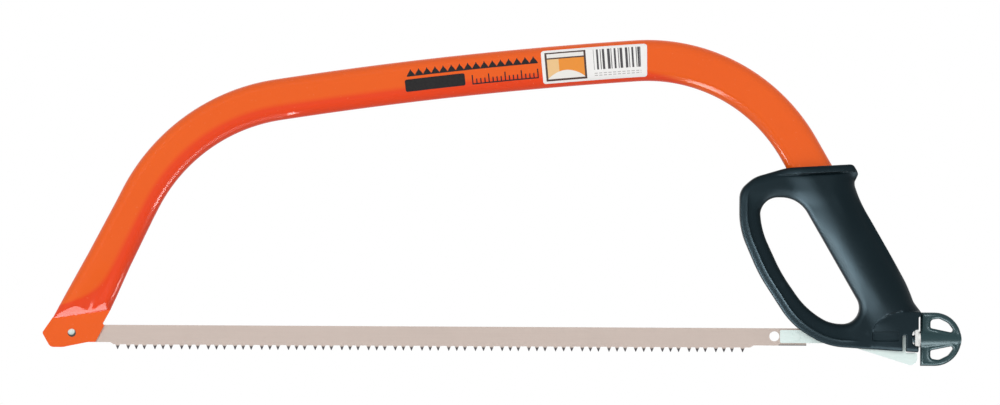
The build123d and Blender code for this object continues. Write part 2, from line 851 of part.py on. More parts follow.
def hexagon_bar(x_low, x_high, across_flats):
    """Hexagon along the bolt's axis with two flats facing the sides."""
    plane = Plane((x_low, 0, -bolt_drop), x_dir=(0, 1, 0), z_dir=(1, 0, 0))
    hexagon = RegularPolygon(across_flats / 2, 6, major_radius=False, rotation=30)
    return extrude(plane * hexagon, x_high - x_low)


def make_tension_bolt():
    """Hexagon bolt; the thread is drawn as rings of the same pitch and depth."""
    radius = bolt_diameter / 2
    start = bolt_head_x + thread_run_out
    end = bolt_head_x + bolt_length
    count = int((bolt_length - thread_run_out) / thread_pitch)
    points = [(bolt_head_x, 0), (bolt_head_x, radius), (start, radius)]
    for i in range(count):
        ring = start + i * thread_pitch
        middle = ring + thread_pitch / 2
        flat = thread_pitch * thread_flat
        points += [(middle - flat, radius - thread_depth), (middle, radius - thread_depth)]
        points += [(ring + thread_pitch - flat, radius), (ring + thread_pitch, radius)]
    points += [(end, radius - thread_depth), (end, 0)]
    profile = make_face(Polyline(*points, close=True).edges())
    shank = Pos(0, 0, -bolt_drop) * revolve(profile, Axis.X)
    return shank + hexagon_bar(bolt_head_x - bolt_head_height, bolt_head_x, hex_across_flats)


def make_knob():
    """Wing knob: a D of two looped wings on a barrel, closed at the end."""
    middle_x = knob_x + knob_flat
    z = -bolt_drop

    def wing(inset, foot):
        arc = Pos(middle_x, z) * Circle(knob_radius - inset)
        straight = Pos((knob_x + foot + middle_x) / 2, z) * Rectangle(
            middle_x - knob_x - foot, 2 * (knob_radius - inset)
        )
        rear_half = Pos(knob_x + foot + far / 2, z) * Rectangle(far, far)
        return (arc + straight) & rear_half

    band = Pos(middle_x, z) * Rectangle(far, knob_barrel_diameter)
    wings = side_plate(wing(0, 0), knob_half)
    wings = fillet(wings.edges().filter_by(Axis.Y, reverse=True), knob_edge_radius)
    windows = side_plate(wing(knob_rim, knob_foot) - band, 2 * knob_half)
    knob = wings - windows
    end_x = middle_x + knob_radius
    knob += long_rod(z, knob_barrel_diameter / 2, knob_x, end_x - knob_rim / 2)
    knob += long_rod(z, knob_hub_diameter / 2, knob_x, knob_x + knob_foot)
    bore = bolt_diameter / 2 + hole_clearance
    knob -= long_rod(z, bore, knob_x, end_x - knob_end_wall)
    pocket_end = nut_x + nut_height + insert_play
    return knob - hexagon_bar(knob_x, pocket_end, hex_across_flats + 2 * insert_play)


def make_knob_nut():
    nut = hexagon_bar(nut_x, nut_x + nut_height, hex_across_flats)
    return nut - long_rod(-bolt_drop, bolt_diameter / 2 + bolt_clearance, nut_x, nut_x + nut_height)


def make_thrust_washer():
    end = washer_x + washer_thickness
    washer = long_rod(-bolt_drop, washer_diameter / 2, washer_x, end)
    return washer - long_rod(-bolt_drop, bolt_diameter / 2 + hole_clearance, washer_x, end)


# --------------------------------------------------------------------- labels
def make_label(start, length, width, drop):
    """Thin label pressed round the tube's left side, from the top run onwards."""
    skin = tube_section(-label_thickness) - tube_section()
    side = -1 if section_plane(top_run, 0).y_dir.Y > 0 else 1
    strip = skin & Pos(-drop, side * tube_thickness) * Rectangle(width, 2 * tube_thickness)
    label = Part()
    passed = 0.0
    for curve, radius in ((top_run, top_run_radius), (rear_bend, rear_bend_radius)):
        low = max(start - passed, 0)
        high = min(start + length - passed, curve.length)
        if low < high:
            share = low / curve.length
            turn = (high - low) / radius * 180 / pi
            label += swept(JernArc(curve @ share, curve % share, radius, -turn), strip, radius)
        passed += curve.length
    return label


# --------------------------------------------------------------------- output
def collect_parts():
    left_shell, right_shell = make_handle_shells()
    sticker_start = top_run.length + sticker_overrun - sticker_length
    size_label = make_label(
        size_label_start, size_label_length, size_label_width, size_label_drop
    )
    cheek_span = front_gap + 2 * cheek_sheet
    thrust_hole = long_rod(-bolt_drop, bolt_diameter / 2 + hole_clearance, plate_front_x, heel_x)
    return {
        "frame_tube": make_frame_tube(),
        "blade": make_blade(),
        "front_pin": make_pin(0, nose_thickness),
        "front_pin_clip": make_clip(0, nose_thickness),
        "handle_shell_left": left_shell,
        "handle_shell_right": right_shell,
        "handle_screws": Part() + [make_screw(place) for place in screw_places()],
        "tube_pin": make_tube_pin(),
        "thrust_plate": make_thrust_plate() - thrust_hole,
        "size_label": size_label,
        "info_sticker": make_label(sticker_start, sticker_length, sticker_width, 0.0),
        "draw_cheek_left": make_cheek(-1),
        "draw_cheek_right": make_cheek(1),
        "cheek_rivets": make_rivets(),
        "crosshead": make_crosshead(),
        "rear_pin": make_pin(rear_pin_x, cheek_span),
        "rear_pin_clip": make_clip(rear_pin_x, cheek_span),
        "tension_bolt": make_tension_bolt(),
        "wing_knob": make_knob(),
        "knob_nut": make_knob_nut(),
        "thrust_washer": make_thrust_washer(),
    }


os.makedirs("parts", exist_ok=True)
to_grip = Pos(-grip_centre.X, 0, -grip_centre.Y)
for node, solid in collect_parts().items():
    export_step(to_grip * solid, f"parts/{node}.step")
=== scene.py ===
"""Bow saw: bent tube frame, D handle and a blade drawn tight by a wing knob."""
import math

import bmesh
import bpy
import numpy as np
from mathutils import Matrix, Vector, geometry, kdtree


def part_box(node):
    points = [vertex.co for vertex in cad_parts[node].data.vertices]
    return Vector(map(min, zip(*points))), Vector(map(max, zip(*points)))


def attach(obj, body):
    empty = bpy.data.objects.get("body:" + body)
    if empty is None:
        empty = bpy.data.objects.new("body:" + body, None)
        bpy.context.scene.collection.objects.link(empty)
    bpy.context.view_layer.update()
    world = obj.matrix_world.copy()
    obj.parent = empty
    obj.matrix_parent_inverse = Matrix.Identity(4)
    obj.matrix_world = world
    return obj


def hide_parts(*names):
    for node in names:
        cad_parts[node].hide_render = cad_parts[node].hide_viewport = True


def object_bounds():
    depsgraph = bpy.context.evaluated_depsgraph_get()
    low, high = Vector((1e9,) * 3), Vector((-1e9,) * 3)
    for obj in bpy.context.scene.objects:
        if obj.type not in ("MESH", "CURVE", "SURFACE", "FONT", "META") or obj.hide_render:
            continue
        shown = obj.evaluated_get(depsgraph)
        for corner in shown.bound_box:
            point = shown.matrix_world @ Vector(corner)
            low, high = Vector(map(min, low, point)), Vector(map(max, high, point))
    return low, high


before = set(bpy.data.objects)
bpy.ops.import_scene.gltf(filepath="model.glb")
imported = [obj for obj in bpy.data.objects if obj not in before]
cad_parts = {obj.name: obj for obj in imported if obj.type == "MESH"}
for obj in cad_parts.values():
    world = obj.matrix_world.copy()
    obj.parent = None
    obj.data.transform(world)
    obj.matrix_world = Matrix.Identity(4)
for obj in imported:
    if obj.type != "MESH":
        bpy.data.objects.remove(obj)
cad_low, cad_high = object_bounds()

# ------------------------------------------------------------------ frame tube
# One length of steel tube, rolled to a flat-sided oval, bent to the bow and
# squeezed to two plies at the nose. Dipped in orange enamel and stoved.
pin_low, pin_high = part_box("front_pin")


def at(x, z, y=0.0):
    """Place by millimetres behind and above the front pin."""
    middle = (pin_low + pin_high) / 2
    return Vector((middle.x + x / 1000, y / 1000, middle.z + z / 1000))


def new_piece(name, points, faces, crisp=35):
    """Mesh object from points and faces, smooth but for edges over an angle."""
    mesh = bpy.data.meshes.new(name)
    mesh.from_pydata([tuple(p) for p in points], [], faces)
    mesh.validate()
    work = bmesh.new()
    work.from_mesh(mesh)
    bmesh.ops.recalc_face_normals(work, faces=work.faces)
    work.to_mesh(mesh)
    work.free()
    mesh.shade_smooth()
    mesh.set_sharp_from_angle(angle=math.radians(crisp))
    piece = bpy.data.objects.new(name, mesh)
    bpy.context.scene.collection.objects.link(piece)
    return piece


class Signal:
    """A socket that can stand in a sum; each operator adds one Math node."""

    def __init__(self, nodes, socket):
        self.nodes = nodes
        self.socket = socket

    def math(self, operation, first, second):
        settings = {"operation": operation}
        return self.nodes.node("ShaderNodeMath", settings, {0: first, 1: second})

    def __add__(self, other):
        return self.math("ADD", self, other)

    def __radd__(self, other):
        return self.math("ADD", other, self)

    def __sub__(self, other):
        return self.math("SUBTRACT", self, other)

    def __rsub__(self, other):
        return self.math("SUBTRACT", other, self)

    def __mul__(self, other):
        return self.math("MULTIPLY", self, other)

    def __rmul__(self, other):
        return self.math("MULTIPLY", other, self)

    def __gt__(self, other):
        return self.math("GREATER_THAN", self, other)

    def __lt__(self, other):
        return self.math("LESS_THAN", self, other)

    def swing(self, reach):
        """Runs from 0 up to reach and back down, over and over."""
        return self.math("PINGPONG", self, reach)


class Nodes:
    """A node tree in the making, whose values are signals."""

    def __init__(self, tree):
        self.tree = tree

    def feed(self, socket, value):
        if isinstance(value, Signal):
            self.tree.links.new(value.socket, socket)
        else:
            socket.default_value = value

    def node(self, kind, settings, sockets, output=0):
        made = self.tree.nodes.new(kind)
        for name, value in settings.items():
            setattr(made, name, value)
        for name, value in sockets.items():
            self.feed(made.inputs[name], value)
        return Signal(self, made.outputs[output])

    def vector(self, operation, first, second, output=0):
        settings = {"operation": operation}
        return self.node("ShaderNodeVectorMath", settings, {0: first, 1: second}, output)

    def part(self, vector, axis):
        """One of a vector's three numbers, by 0, 1 or 2."""
        return self.node("ShaderNodeSeparateXYZ", {}, {0: vector}, axis)

    def place(self, stretch=(1, 1, 1)):
        """Object coordinates, in metres, squeezed or stretched per axis."""
        where = self.node("ShaderNodeTexCoord", {}, {}, "Object")
        return self.vector("MULTIPLY", where, stretch)

    def mottle(self, scale, detail=2.0, stretch=(1, 1, 1)):
        """Soft noise from 0 to 1; scale is in lumps per metre."""
        sockets = {"Vector": self.place(stretch), "Scale": scale, "Detail": detail}
        return self.node("ShaderNodeTexNoise", {}, sockets)

    def between(self, low, high, share):
        """Rises from 0 to 1 while the share goes from low to high."""
        sockets = {0: share, 1: low, 2: high, 3: 0.0, 4: 1.0}
        return self.node("ShaderNodeMapRange", {}, sockets)

    def blend(self, first, second, share):
        """Colour mixed from two, with the second's share from 0 to 1."""
        settings = {"data_type": "RGBA"}
        return self.node("ShaderNodeMix", settings, {0: share, 6: first, 7: second}, 2)


class Finish(Nodes):
    """A material in the making: one Principled surface and what feeds it."""

    def __init__(self, name, fixed):
        self.material = bpy.data.materials.new(name)
        self.material.use_nodes = True
        super().__init__(self.material.node_tree)
        self.tree.nodes.clear()
        self.surface = self.node("ShaderNodeBsdfPrincipled", {}, fixed)
        self.output = self.tree.nodes.new("ShaderNodeOutputMaterial")
        self.show(self.surface)

    def show(self, surface):
        self.feed(self.output.inputs["Surface"], surface)

    def wear(self, color, roughness, bump=None, depth=0.0):
        """Feeds the surface; bump is a height from 0 to 1, depth its metres."""
        inputs = self.surface.socket.node.inputs
        self.feed(inputs["Base Color"], color)
        self.feed(inputs["Roughness"], roughness)
        if bump is not None:
            sockets = {"Height": bump, "Distance": depth, "Strength": 1.0}
            self.feed(inputs["Normal"], self.node("ShaderNodeBump", {}, sockets))
        return self.material


def orange_enamel():
    fixed = {"Coat Weight": 0.5, "Coat Roughness": 0.10, "Specular IOR Level": 0.04}
    paint = Finish("orange enamel", fixed)
    # painted shade: a deeper orange on the tube's lower, inner side, and over all of it near the
    # crease
    settings = {"attribute_name": "painted_shade_on_tube"}
    inner = paint.node("ShaderNodeAttribute", settings, {}, "Fac")
    cloud = paint.mottle(9.0, 3.0)
    outer_tone = paint.blend((0.82, 0.114, 0.006, 1), (0.79, 0.098, 0.005, 1), cloud)
    painted_shade_tone = paint.blend((0.80, 0.056, 0.005, 1), (0.77, 0.047, 0.005, 1), cloud)
    color = paint.blend(outer_tone, painted_shade_tone, inner)
    dust = paint.between(0.70, 0.78, paint.mottle(420.0, 1.0))
    color = paint.blend(color, (0.84, 0.26, 0.12, 1), dust * 0.22)
    roughness = 0.24 + 0.10 * paint.mottle(60.0, 4.0)
    return paint.wear(color, roughness, bump=paint.mottle(140.0, 2.0), depth=0.000012)


def lay_route(runs, x, z):
    """Stations along runs of even curvature: x, z, heading and distance."""
    stations = []
    travelled = 0.0
    for length, turn_in, turn_out, step in runs:
        count = max(2, round(length / step))
        for i in range(count):
            heading = turn_in + (turn_out - turn_in) * i / count
            stations.append((x, z, heading, travelled))
            ahead = math.radians(heading + (turn_out - turn_in) / count / 2)
            x += math.cos(ahead) * length / count
            z += math.sin(ahead) * length / count
            travelled += length / count
    stations.append((x, z, runs[-1][2], travelled))
    return stations


def oval_ring(depth, thickness, count):
    """Flat-sided oval, starting at the middle of its left side."""
    ring = []
    radius = thickness / 2
    straight = depth - thickness
    around = 2 * straight + math.pi * thickness
    for i in range(count):
        passed = (around * i / count + straight / 2) % around
        if passed < straight:
            ring.append((straight / 2 - passed, -radius))
            continue
        passed -= straight
        if passed < math.pi * radius:
            angle = passed / radius
            ring.append((-straight / 2 - radius * math.sin(angle), -radius * math.cos(angle)))
            continue
        passed -= math.pi * radius
        if passed < straight:
            ring.append((passed - straight / 2, radius))
            continue
        angle = (passed - straight) / radius
        ring.append((straight / 2 + radius * math.sin(angle), radius * math.cos(angle)))
    return ring


tube_depth = 30.2
tube_thickness = 15.0
nose_thickness = 4.1
arm_slope = 63.2
arm_end = 110.06
front_bend_length = 128.65
top_run_slopes = 9.0, 4.0
top_run_length = 264.2
rear_bend_length = 141.86
tail_slope = -60.0
tail_length = 122.0
crease = 15.2
shoulder = 12.0
taper_places = [crease, 31, 60, 100]
taper_depths = [35.0, 34.2, 31.8, tube_depth]
taper_tilts = [35.3, 27.0, 9.0, 0.0]
shoulder_humps = ((0.16, 0.12, 7.4), (0.68, 0.22, 6.0))
tube_runs = [
    (shoulder, arm_slope, arm_slope, 0.4),
    (arm_end - crease - shoulder, arm_slope, arm_slope, 2.5),
    (front_bend_length, arm_slope, top_run_slopes[0], 1.5),
    (top_run_length, *top_run_slopes, 4.0),
    (rear_bend_length, top_run_slopes[1], tail_slope, 1.5),
    (tail_length, tail_slope, tail_slope, 4.0),
]


def half_thickness(above, across):
    """Half of the tube's width by distance above the crease; across is 0 to 1."""
    flattening = taper_places[-1] - crease
    fuller = 1 - (1 - min(above / flattening, 1.0)) ** 4.3
    length = 1.2
    for place, width, hump in shoulder_humps:
        length += hump * math.exp(-(((across - place) / width) ** 2))
    step_up = 0.50 * length * (1 - (1 - min(above / length, 1.0)) ** 1.2)
    ridge = step_up * (1 - fuller)
    return nose_thickness / 2 + ridge + (tube_thickness - nose_thickness) / 2 * fuller


def painted_shade_share(travelled):
    """Share of the tube's depth, from its inside, that gets a painted shade of deeper orange."""
    fading = min(max((travelled - 470) / 90, 0.0), 1.0)
    return 0.36 + 2.2 * math.exp(-travelled / 7) - 0.5 * fading


crease_x = crease * math.cos(math.radians(arm_slope))
crease_z = crease * math.sin(math.radians(arm_slope))
tube_route = lay_route(tube_runs, crease_x, crease_z)
around_count = 96
points = []
painted_shade_weights = []
for x, z, heading, travelled in tube_route:
    depth = np.interp(crease + travelled, taper_places, taper_depths)
    tilt = np.interp(crease + travelled, taper_places, taper_tilts)
    full_half = half_thickness(travelled, 0.5)
    way = math.radians(heading + 90 + tilt)
    longer = depth / math.cos(math.radians(tilt))
    for u, v in oval_ring(longer, 2 * full_half, around_count):
        across = u / longer + 0.5
        swell = half_thickness(travelled, across) / full_half
        points.append(at(x + u * math.cos(way), z + u * math.sin(way), v * swell))
        # how much of the depth gets the painted shade at this station
        edge = painted_shade_share(travelled)
        painted_shade_weights.append(min(max((edge - across) / 0.11 + 0.5, 0.0), 1.0))
faces = []
for row in range(len(tube_route) - 1):
    for i in range(around_count):
        j = (i + 1) % around_count
        base = row * around_count
        after = base + around_count
        faces.append((base + i, base + j, after + j, after + i))
faces.append(tuple(range(around_count)))
faces.append(tuple(range(len(points) - around_count, len(points))))
frame_tube = new_piece("bent_tube", points, faces)
# each point's share of painted shade, for the enamel to read
layer = frame_tube.data.attributes.new("painted_shade_on_tube", "FLOAT", "POINT")
layer.data.foreach_set("value", painted_shade_weights)
enamel = orange_enamel()
frame_tube.data.materials.append(enamel)
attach(frame_tube, "saw_frame")
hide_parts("frame_tube")

# ------------------------------------------------------------------------ nose
# The tube's front end, pressed to two flat plies that stay joined by a closed
# fold in front and leave a slot for the blade. It shares the tube's enamel.


def rounded(corners, radii, step=1.0):
    """Closed outline through corners, each cut to its own radius."""
    line = []
    count = len(corners)
    for i, radius in enumerate(radii):
        before = Vector(corners[i - 1])
        corner = Vector(corners[i])
        after = Vector(corners[(i + 1) % count])
        back = (before - corner).normalized()
        on = (after - corner).normalized()
        half = back.angle(on) / 2
        if radius <= 0 or half > math.radians(89.5):
            line.append(corner)
            continue
        middle = corner + (back + on).normalized() * radius / math.sin(half)
        start = corner + back * radius / math.tan(half)
        end = corner + on * radius / math.tan(half)
        sweep = (start - middle).angle(end - middle)
        pieces = max(2, math.ceil(radius * sweep / step))
        turn = (start - middle).angle_signed(end - middle)
        for k in range(pieces + 1):
            arm = (start - middle).copy()
            arm.rotate(Matrix.Rotation(-turn * k / pieces, 2))
            line.append(middle + arm)
    return line


def even_loop(line, step):
    """The same closed outline with corners kept and long sides divided."""
    loop = []
    for i, start in enumerate(line):
        end = line[(i + 1) % len(line)]
        length = (end - start).length
        if length < 1e-6:
            continue
        pieces = max(1, math.ceil(length / step))
        for k in range(pieces):
            loop.append(start.lerp(end, k / pieces))
    return loop


def to_arrays(loops):
    return [np.array([(p[0], p[1]) for p in loop]) for loop in loops]


def edge_distance(spots, loop):
    """Distance from each spot to the nearest part of a closed outline."""
    pieces = []
    for a, side in zip(loop, np.roll(loop, -1, axis=0) - loop):
        count = max(1, math.ceil(math.hypot(*side) / 0.12))
        pieces.append(a + np.arange(count)[:, None] / count * side)
    marks = np.vstack(pieces)
    tree = kdtree.KDTree(len(marks))
    for i, (x, z) in enumerate(marks):
        tree.insert((x, z, 0), i)
    tree.balance()
    return np.array([tree.find((x, z, 0))[2] for x, z in spots])


def within(spots, loops):
    """True where a spot is inside an odd number of the outlines."""
    odd = np.zeros(len(spots), bool)
    for loop in loops:
        for a, b in zip(loop, np.roll(loop, -1, axis=0)):
            level = (a[1] > spots[:, 1]) != (b[1] > spots[:, 1])
            slope = (b[0] - a[0]) / (b[1] - a[1] if b[1] != a[1] else 1e-12)
            odd ^= level & (spots[:, 0] < a[0] + slope * (spots[:, 1] - a[1]))
    return odd


def triangles(spots, loops):
    """Triangles over the area inside the outlines, keeping their edges."""
    edges = []
    start = 0
    for loop in loops:
        edges += [(start + i, start + (i + 1) % len(loop)) for i in range(len(loop))]
        start += len(loop)
    flat = [Vector((float(x), float(z))) for x, z in spots]
    found = geometry.delaunay_2d_cdt(flat, edges, [], 0, 1e-6)
    made = np.array([(p.x, p.y) for p in found[0]])
    corners = np.array(found[2])
    middles = made[corners].mean(axis=1)
    kept = corners[within(middles, loops)]
    return made, [tuple(int(i) for i in c) for c in kept]


def flat_plate(name, loops, y_low, y_high, edge):
    """Flat plate over an area, from y_low to y_high, its rims broken by edge."""
    arrays = to_arrays(loops)
    made, corners = triangles(np.vstack(arrays), arrays)
    count = len(made)
    points = [at(x, z, y_low) for x, z in made] + [at(x, z, y_high) for x, z in made]
    faces = corners + [tuple(count + i for i in c) for c in corners]
    start = 0
    for loop in arrays:
        for i in range(len(loop)):
            a, b = start + i, start + (i + 1) % len(loop)
            faces.append((a, b, count + b, count + a))
        start += len(loop)
    plate = new_piece(name, points, faces)
    if edge:
        rim = plate.modifiers.new("rim", "BEVEL")
        rim.width = edge / 1000
        rim.segments = 2
        rim.limit_method = "ANGLE"
        rim.angle_limit = math.radians(50)
    return plate


crease_slope = math.radians(arm_slope - 90 + taper_tilts[0])
crease_half = taper_depths[0] / math.cos(math.radians(taper_tilts[0])) / 2


def crease_end(side):
    """Front or rear end of the crease, for a side of -1 or 1."""
    x = crease_x + side * crease_half * math.cos(crease_slope)
    return x, crease_z + side * crease_half * math.sin(crease_slope)


front_x, front_z = crease_end(-1)
rear_x, rear_z = crease_end(1)
nose_tip = (-21.7, 0.0)
nose_chin = (-15.8, -10.5)
ply_outline = rounded(
    [
        (front_x + 0.3, front_z + 0.7),
        nose_tip,
        nose_chin,
        (-6.5, -10.5),
        (11.7, -6.75),
        (17.2, -6.75),
        (23.5, 5.2),
        (22.6, 6.9),
        (rear_x + 0.1, rear_z + 0.3),
    ],
    [0, 2, 5, 10, 10, 1, 0.4, 0.4, 0],
    0.6,
)
fold_outline = rounded(
    [
        (front_x + 0.3, front_z + 0.7),
        nose_tip,
        nose_chin,
        (-13.0, -10.5),
        (-19.6, 0.0),
        (front_x + 3.0, front_z + 0.7),
    ],
    [0, 2, 4, 0, 2, 0],
    0.6,
)
nose_plies = []
for name, outline, y_low, y_high in (
    ("nose_ply_left", ply_outline, -2.05, -0.55),
    ("nose_ply_right", ply_outline, 0.55, 2.05),
    ("nose_fold", fold_outline, -1.9, 1.9),
):
    ply = flat_plate(name, [outline], y_low, y_high, 0.45)
    ply.data.materials.append(enamel)
    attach(ply, "saw_frame")
    nose_plies.append(ply)

# ------------------------------------------------------------------- front pin
# A turned pin through both plies and the blade, with a low domed head on the
# left and a clip in its groove on the right. Zinc plated.


def zinc_plate():
    zinc = Finish("zinc plate", {"Metallic": 1.0})
    color = zinc.blend((0.62, 0.64, 0.66, 1), (0.80, 0.81, 0.80, 1), zinc.mottle(300.0, 3.0))
    roughness = 0.22 + 0.16 * zinc.mottle(900.0, 2.0)
    return zinc.wear(color, roughness, bump=zinc.mottle(1500.0, 2.0), depth=0.00002)


def pin_finish():
    """Zinc on the pin, with a painted shadow as a dark crescent round its head."""
    zinc = Finish("pin zinc", {"Metallic": 0.6})
    from_lit_middle = zinc.vector("SUBTRACT", zinc.place(), tuple(at(-0.4, 1.1)))
    sideways = zinc.vector("MULTIPLY", from_lit_middle, (1, 0, 1))
    reach = zinc.vector("LENGTH", sideways, (0, 0, 0), 1)
    # painted shadow: a dark crescent round the head's lower edge, outside a lit middle set a
    # little high
    painted_shadow = zinc.between(0.0023, 0.0028, reach)
    bright = zinc.blend((0.60, 0.70, 0.66, 1), (0.74, 0.82, 0.78, 1), zinc.mottle(900.0, 2.0))
    color = zinc.blend(bright, (0.10, 0.10, 0.085, 1), painted_shadow)
    roughness = 0.25 + 0.4 * painted_shadow
    return zinc.wear(color, roughness, bump=zinc.mottle(1500.0, 2.0), depth=0.00002)


def turned(name, profile, centre, count=48):
    """Piece turned about the Y axis; profile is radius and y, in millimetres."""
    points = []
    for radius, y in profile:
        for i in range(count):
            angle = 2 * math.pi * i / count
            x = centre[0] + radius * math.cos(angle)
            points.append(at(x, centre[1] + radius * math.sin(angle), y))
    faces = []
    for row in range(len(profile) - 1):
        base = row * count
        after = base + count
        for i in range(count):
            j = (i + 1) % count
            faces.append((base + i, base + j, after + j, after + i))
    faces.append(tuple(range(count)))
    faces.append(tuple(range(len(points) - count, len(points))))
    return new_piece(name, points, faces)


def dress(material, *nodes):
    """Gives solids that are shown as they are their finish."""
    for node in nodes:
        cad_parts[node].material_slots[0].material = material


pin_head = [(0.3, -3.05), (1.2, -2.98), (2.1, -2.75), (2.75, -2.4), (3.0, -2.06)]
pin_shank = [(2.5, -2.04), (2.5, 2.1)]
pin_groove = [(2.05, 2.15), (2.05, 3.05)]
pin_end = [(2.5, 3.1), (2.5, 3.6), (2.2, 3.9)]
pin = turned("blade_pin", pin_head + pin_shank + pin_groove + pin_end, (0, 0))
pin.data.materials.append(pin_finish())
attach(pin, "saw_frame")
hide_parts("front_pin")
plating = zinc_plate()
dress(plating, "front_pin_clip")

# ---------------------------------------------------------------------- prints
# A black bar, a plain scale and a row of teeth, printed in black ink on thin
# film, which is stuck on the left side of the top run and follows its curve.


def station_at(distance):
    """Place and heading on the tube's middle line, from its front end."""
    rows = tube_route
    marks = [row[3] for row in rows]
    return tuple(float(np.interp(distance, marks, [row[k] for row in rows])) for k in range(3))


top_run_start = arm_end - crease + front_bend_length


def wrapped(name, start, alongs, edges, lift, across_count=24):
    """Skin on the tube's left side; edges gives its low and high edge along it."""
    points = []
    chart = []
    flat = (tube_depth - tube_thickness) / 2
    radius = tube_thickness / 2 + lift
    for along in alongs:
        x, z, heading = station_at(top_run_start + start + along)
        up = math.radians(heading + 90)
        low, high = edges(along)
        for column in range(across_count + 1):
            u = low + (high - low) * column / across_count
            angle = max(abs(u) - flat, 0.0) / radius
            rise = math.copysign(min(abs(u), flat) + radius * math.sin(angle), u)
            y = -radius * math.cos(angle)
            points.append(at(x + rise * math.cos(up), z + rise * math.sin(up), y))
            chart.append((along, u))
    faces = []
    stride = across_count + 1
    for row in range(len(alongs) - 1):
        for column in range(across_count):
            base = row * stride + column
            faces.append((base, base + 1, base + stride + 1, base + stride))
    skin = new_piece(name, points, faces)
    layer = skin.data.uv_layers.new(name="print")
    for loop in skin.data.loops:
        layer.data[loop.index].uv = chart[loop.vertex_index]
    return skin


def bar_shape(length, low, high, corner, step=2.0):
    """Stations and edges of a bar with rounded corners."""
    near = [corner * (1 - math.cos(math.radians(a))) for a in (0, 20, 40, 60, 75)]
    inner = list(np.linspace(corner, length - corner, max(2, round(length / step))))
    alongs = near + inner + [length - n for n in reversed(near)]

    def edges(along):
        gap = corner - min(along, length - along, corner)
        trim = corner - math.sqrt(max(corner**2 - gap**2, 0.0))
        return low + trim, high - trim

    return alongs, edges


def black_ink():
    ink = Finish("black print", {"Coat Weight": 0.08, "Specular IOR Level": 0.2})
    color = ink.blend((0.006, 0.006, 0.007, 1), (0.022, 0.020, 0.020, 1), ink.mottle(700.0, 3.0))
    return ink.wear(color, 0.32 + 0.15 * ink.mottle(200.0, 2.0))


bar_start, bar_length = 94.0, 44.0
bar = wrapped("printed_bar", bar_start, *bar_shape(bar_length, -7.4, 1.6, 1.4), 0.12)
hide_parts("size_label")
prints = [bar]

scale_start = 143.0
tick_pitch, tick_width, tick_foot = 3.0, 0.9, -6.6
tick_count = 17
for i in range(tick_count):
    tall = 6.2 if i % 4 == 0 else 3.4
    shape = bar_shape(tick_width, tick_foot, tick_foot + tall, 0.1)
    place = scale_start + i * tick_pitch
    prints.append(wrapped(f"graduation_{i:02d}", place, *shape, 0.06, 4))
scale_length = (tick_count - 1) * tick_pitch + tick_width
shape = bar_shape(scale_length, -7.4, -6.5, 0.2)
prints.append(wrapped("graduation_line", scale_start, *shape, 0.07, 4))

teeth_start = 96.0
tooth_pitch = 6.0
tooth_count = 16


def tooth_edges(along):
    """A row of printed teeth on a thin line."""
    return 3.6, 4.4 + 4.6 * (1 - abs((along / tooth_pitch) % 1.0 - 0.5) * 2)


tooth_marks = [tooth_pitch / 2 * i for i in range(2 * tooth_count + 1)]
prints.append(wrapped("printed_teeth", teeth_start, tooth_marks, tooth_edges, 0.06, 6))
ink = black_ink()
for print_piece in prints:
    print_piece.data.materials.append(ink)
    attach(print_piece, "saw_frame")

# ----------------------------------------------------------------------- label
# A white paper label under clear film, stuck on the tube behind the prints. It
# carries a picture without meaning, plain bars and rows of dashes.


def label_paper():
    paper = Finish("label paper", {"Coat Weight": 0.4, "Coat Roughness": 0.15})
    chart = paper.node("ShaderNodeUVMap", {"uv_map": "print"}, {})
    along = paper.part(chart, 0)
    across = paper.part(chart, 1)

    def box(front, rear, low, high):
        """Mask over a rectangle of the label, in millimetres."""
        return (along > front) * (along < rear) * (across > low) * (across < high)

    fibre = paper.mottle(1200.0, 4.0)
    color = paper.blend((0.80, 0.79, 0.77, 1), (0.88, 0.87, 0.85, 1), fibre)
    color = paper.blend(color, (0.05, 0.02, 0.015, 1), box(2.5, 32.5, -10.5, 10.5))
    panel = box(4.0, 31.0, -9.0, 5.5)
    color = paper.blend(color, (0.78, 0.26, 0.02, 1), panel)
    color = paper.blend(color, (0.80, 0.52, 0.24, 1), box(4.0, 12.5, -9.0, 5.5))
    color = paper.blend(color, (0.78, 0.76, 0.72, 1), box(4.0, 31.0, 6.5, 9.4))
    from_top = along - 17.5
    hill = panel * (across < -3.0 - from_top * from_top * 0.03)
    color = paper.blend(color, (0.80, 0.78, 0.73, 1), hill)
    stripes = (along.swing(2.15) > 1.45) + (along.swing(1.31) > 1.02)
    bars = box(38.0, 72.5, -4.6, 10.2) * (stripes > 0.5)
    color = paper.blend(color, (0.045, 0.04, 0.045, 1), bars)
    dashes = (across.swing(0.8) > 0.5) * (along.swing(1.7) > 0.5)
    color = paper.blend(color, (0.42, 0.40, 0.39, 1), box(38.0, 72.5, -9.6, -6.4) * dashes)
    roughness = 0.35 + 0.15 * paper.mottle(150.0, 2.0)
    return paper.wear(color, roughness, bump=fibre, depth=0.00001)


label_length = 77.0
label_overhang = 7.6
label_start = top_run_length + label_overhang - label_length
shape = bar_shape(label_length, -12.4, 12.4, 2.2, 1.5)
label = wrapped("paper_label", label_start, *shape, 0.15, 40)
label.data.materials.append(label_paper())
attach(label, "saw_frame")
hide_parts("info_sticker")

# ----------------------------------------------------------------------- blade
# A rolled strip of carbon steel, toothed in groups of three between wide
# gullets. Teeth are set left, straight and right in turn, ground and hardened.


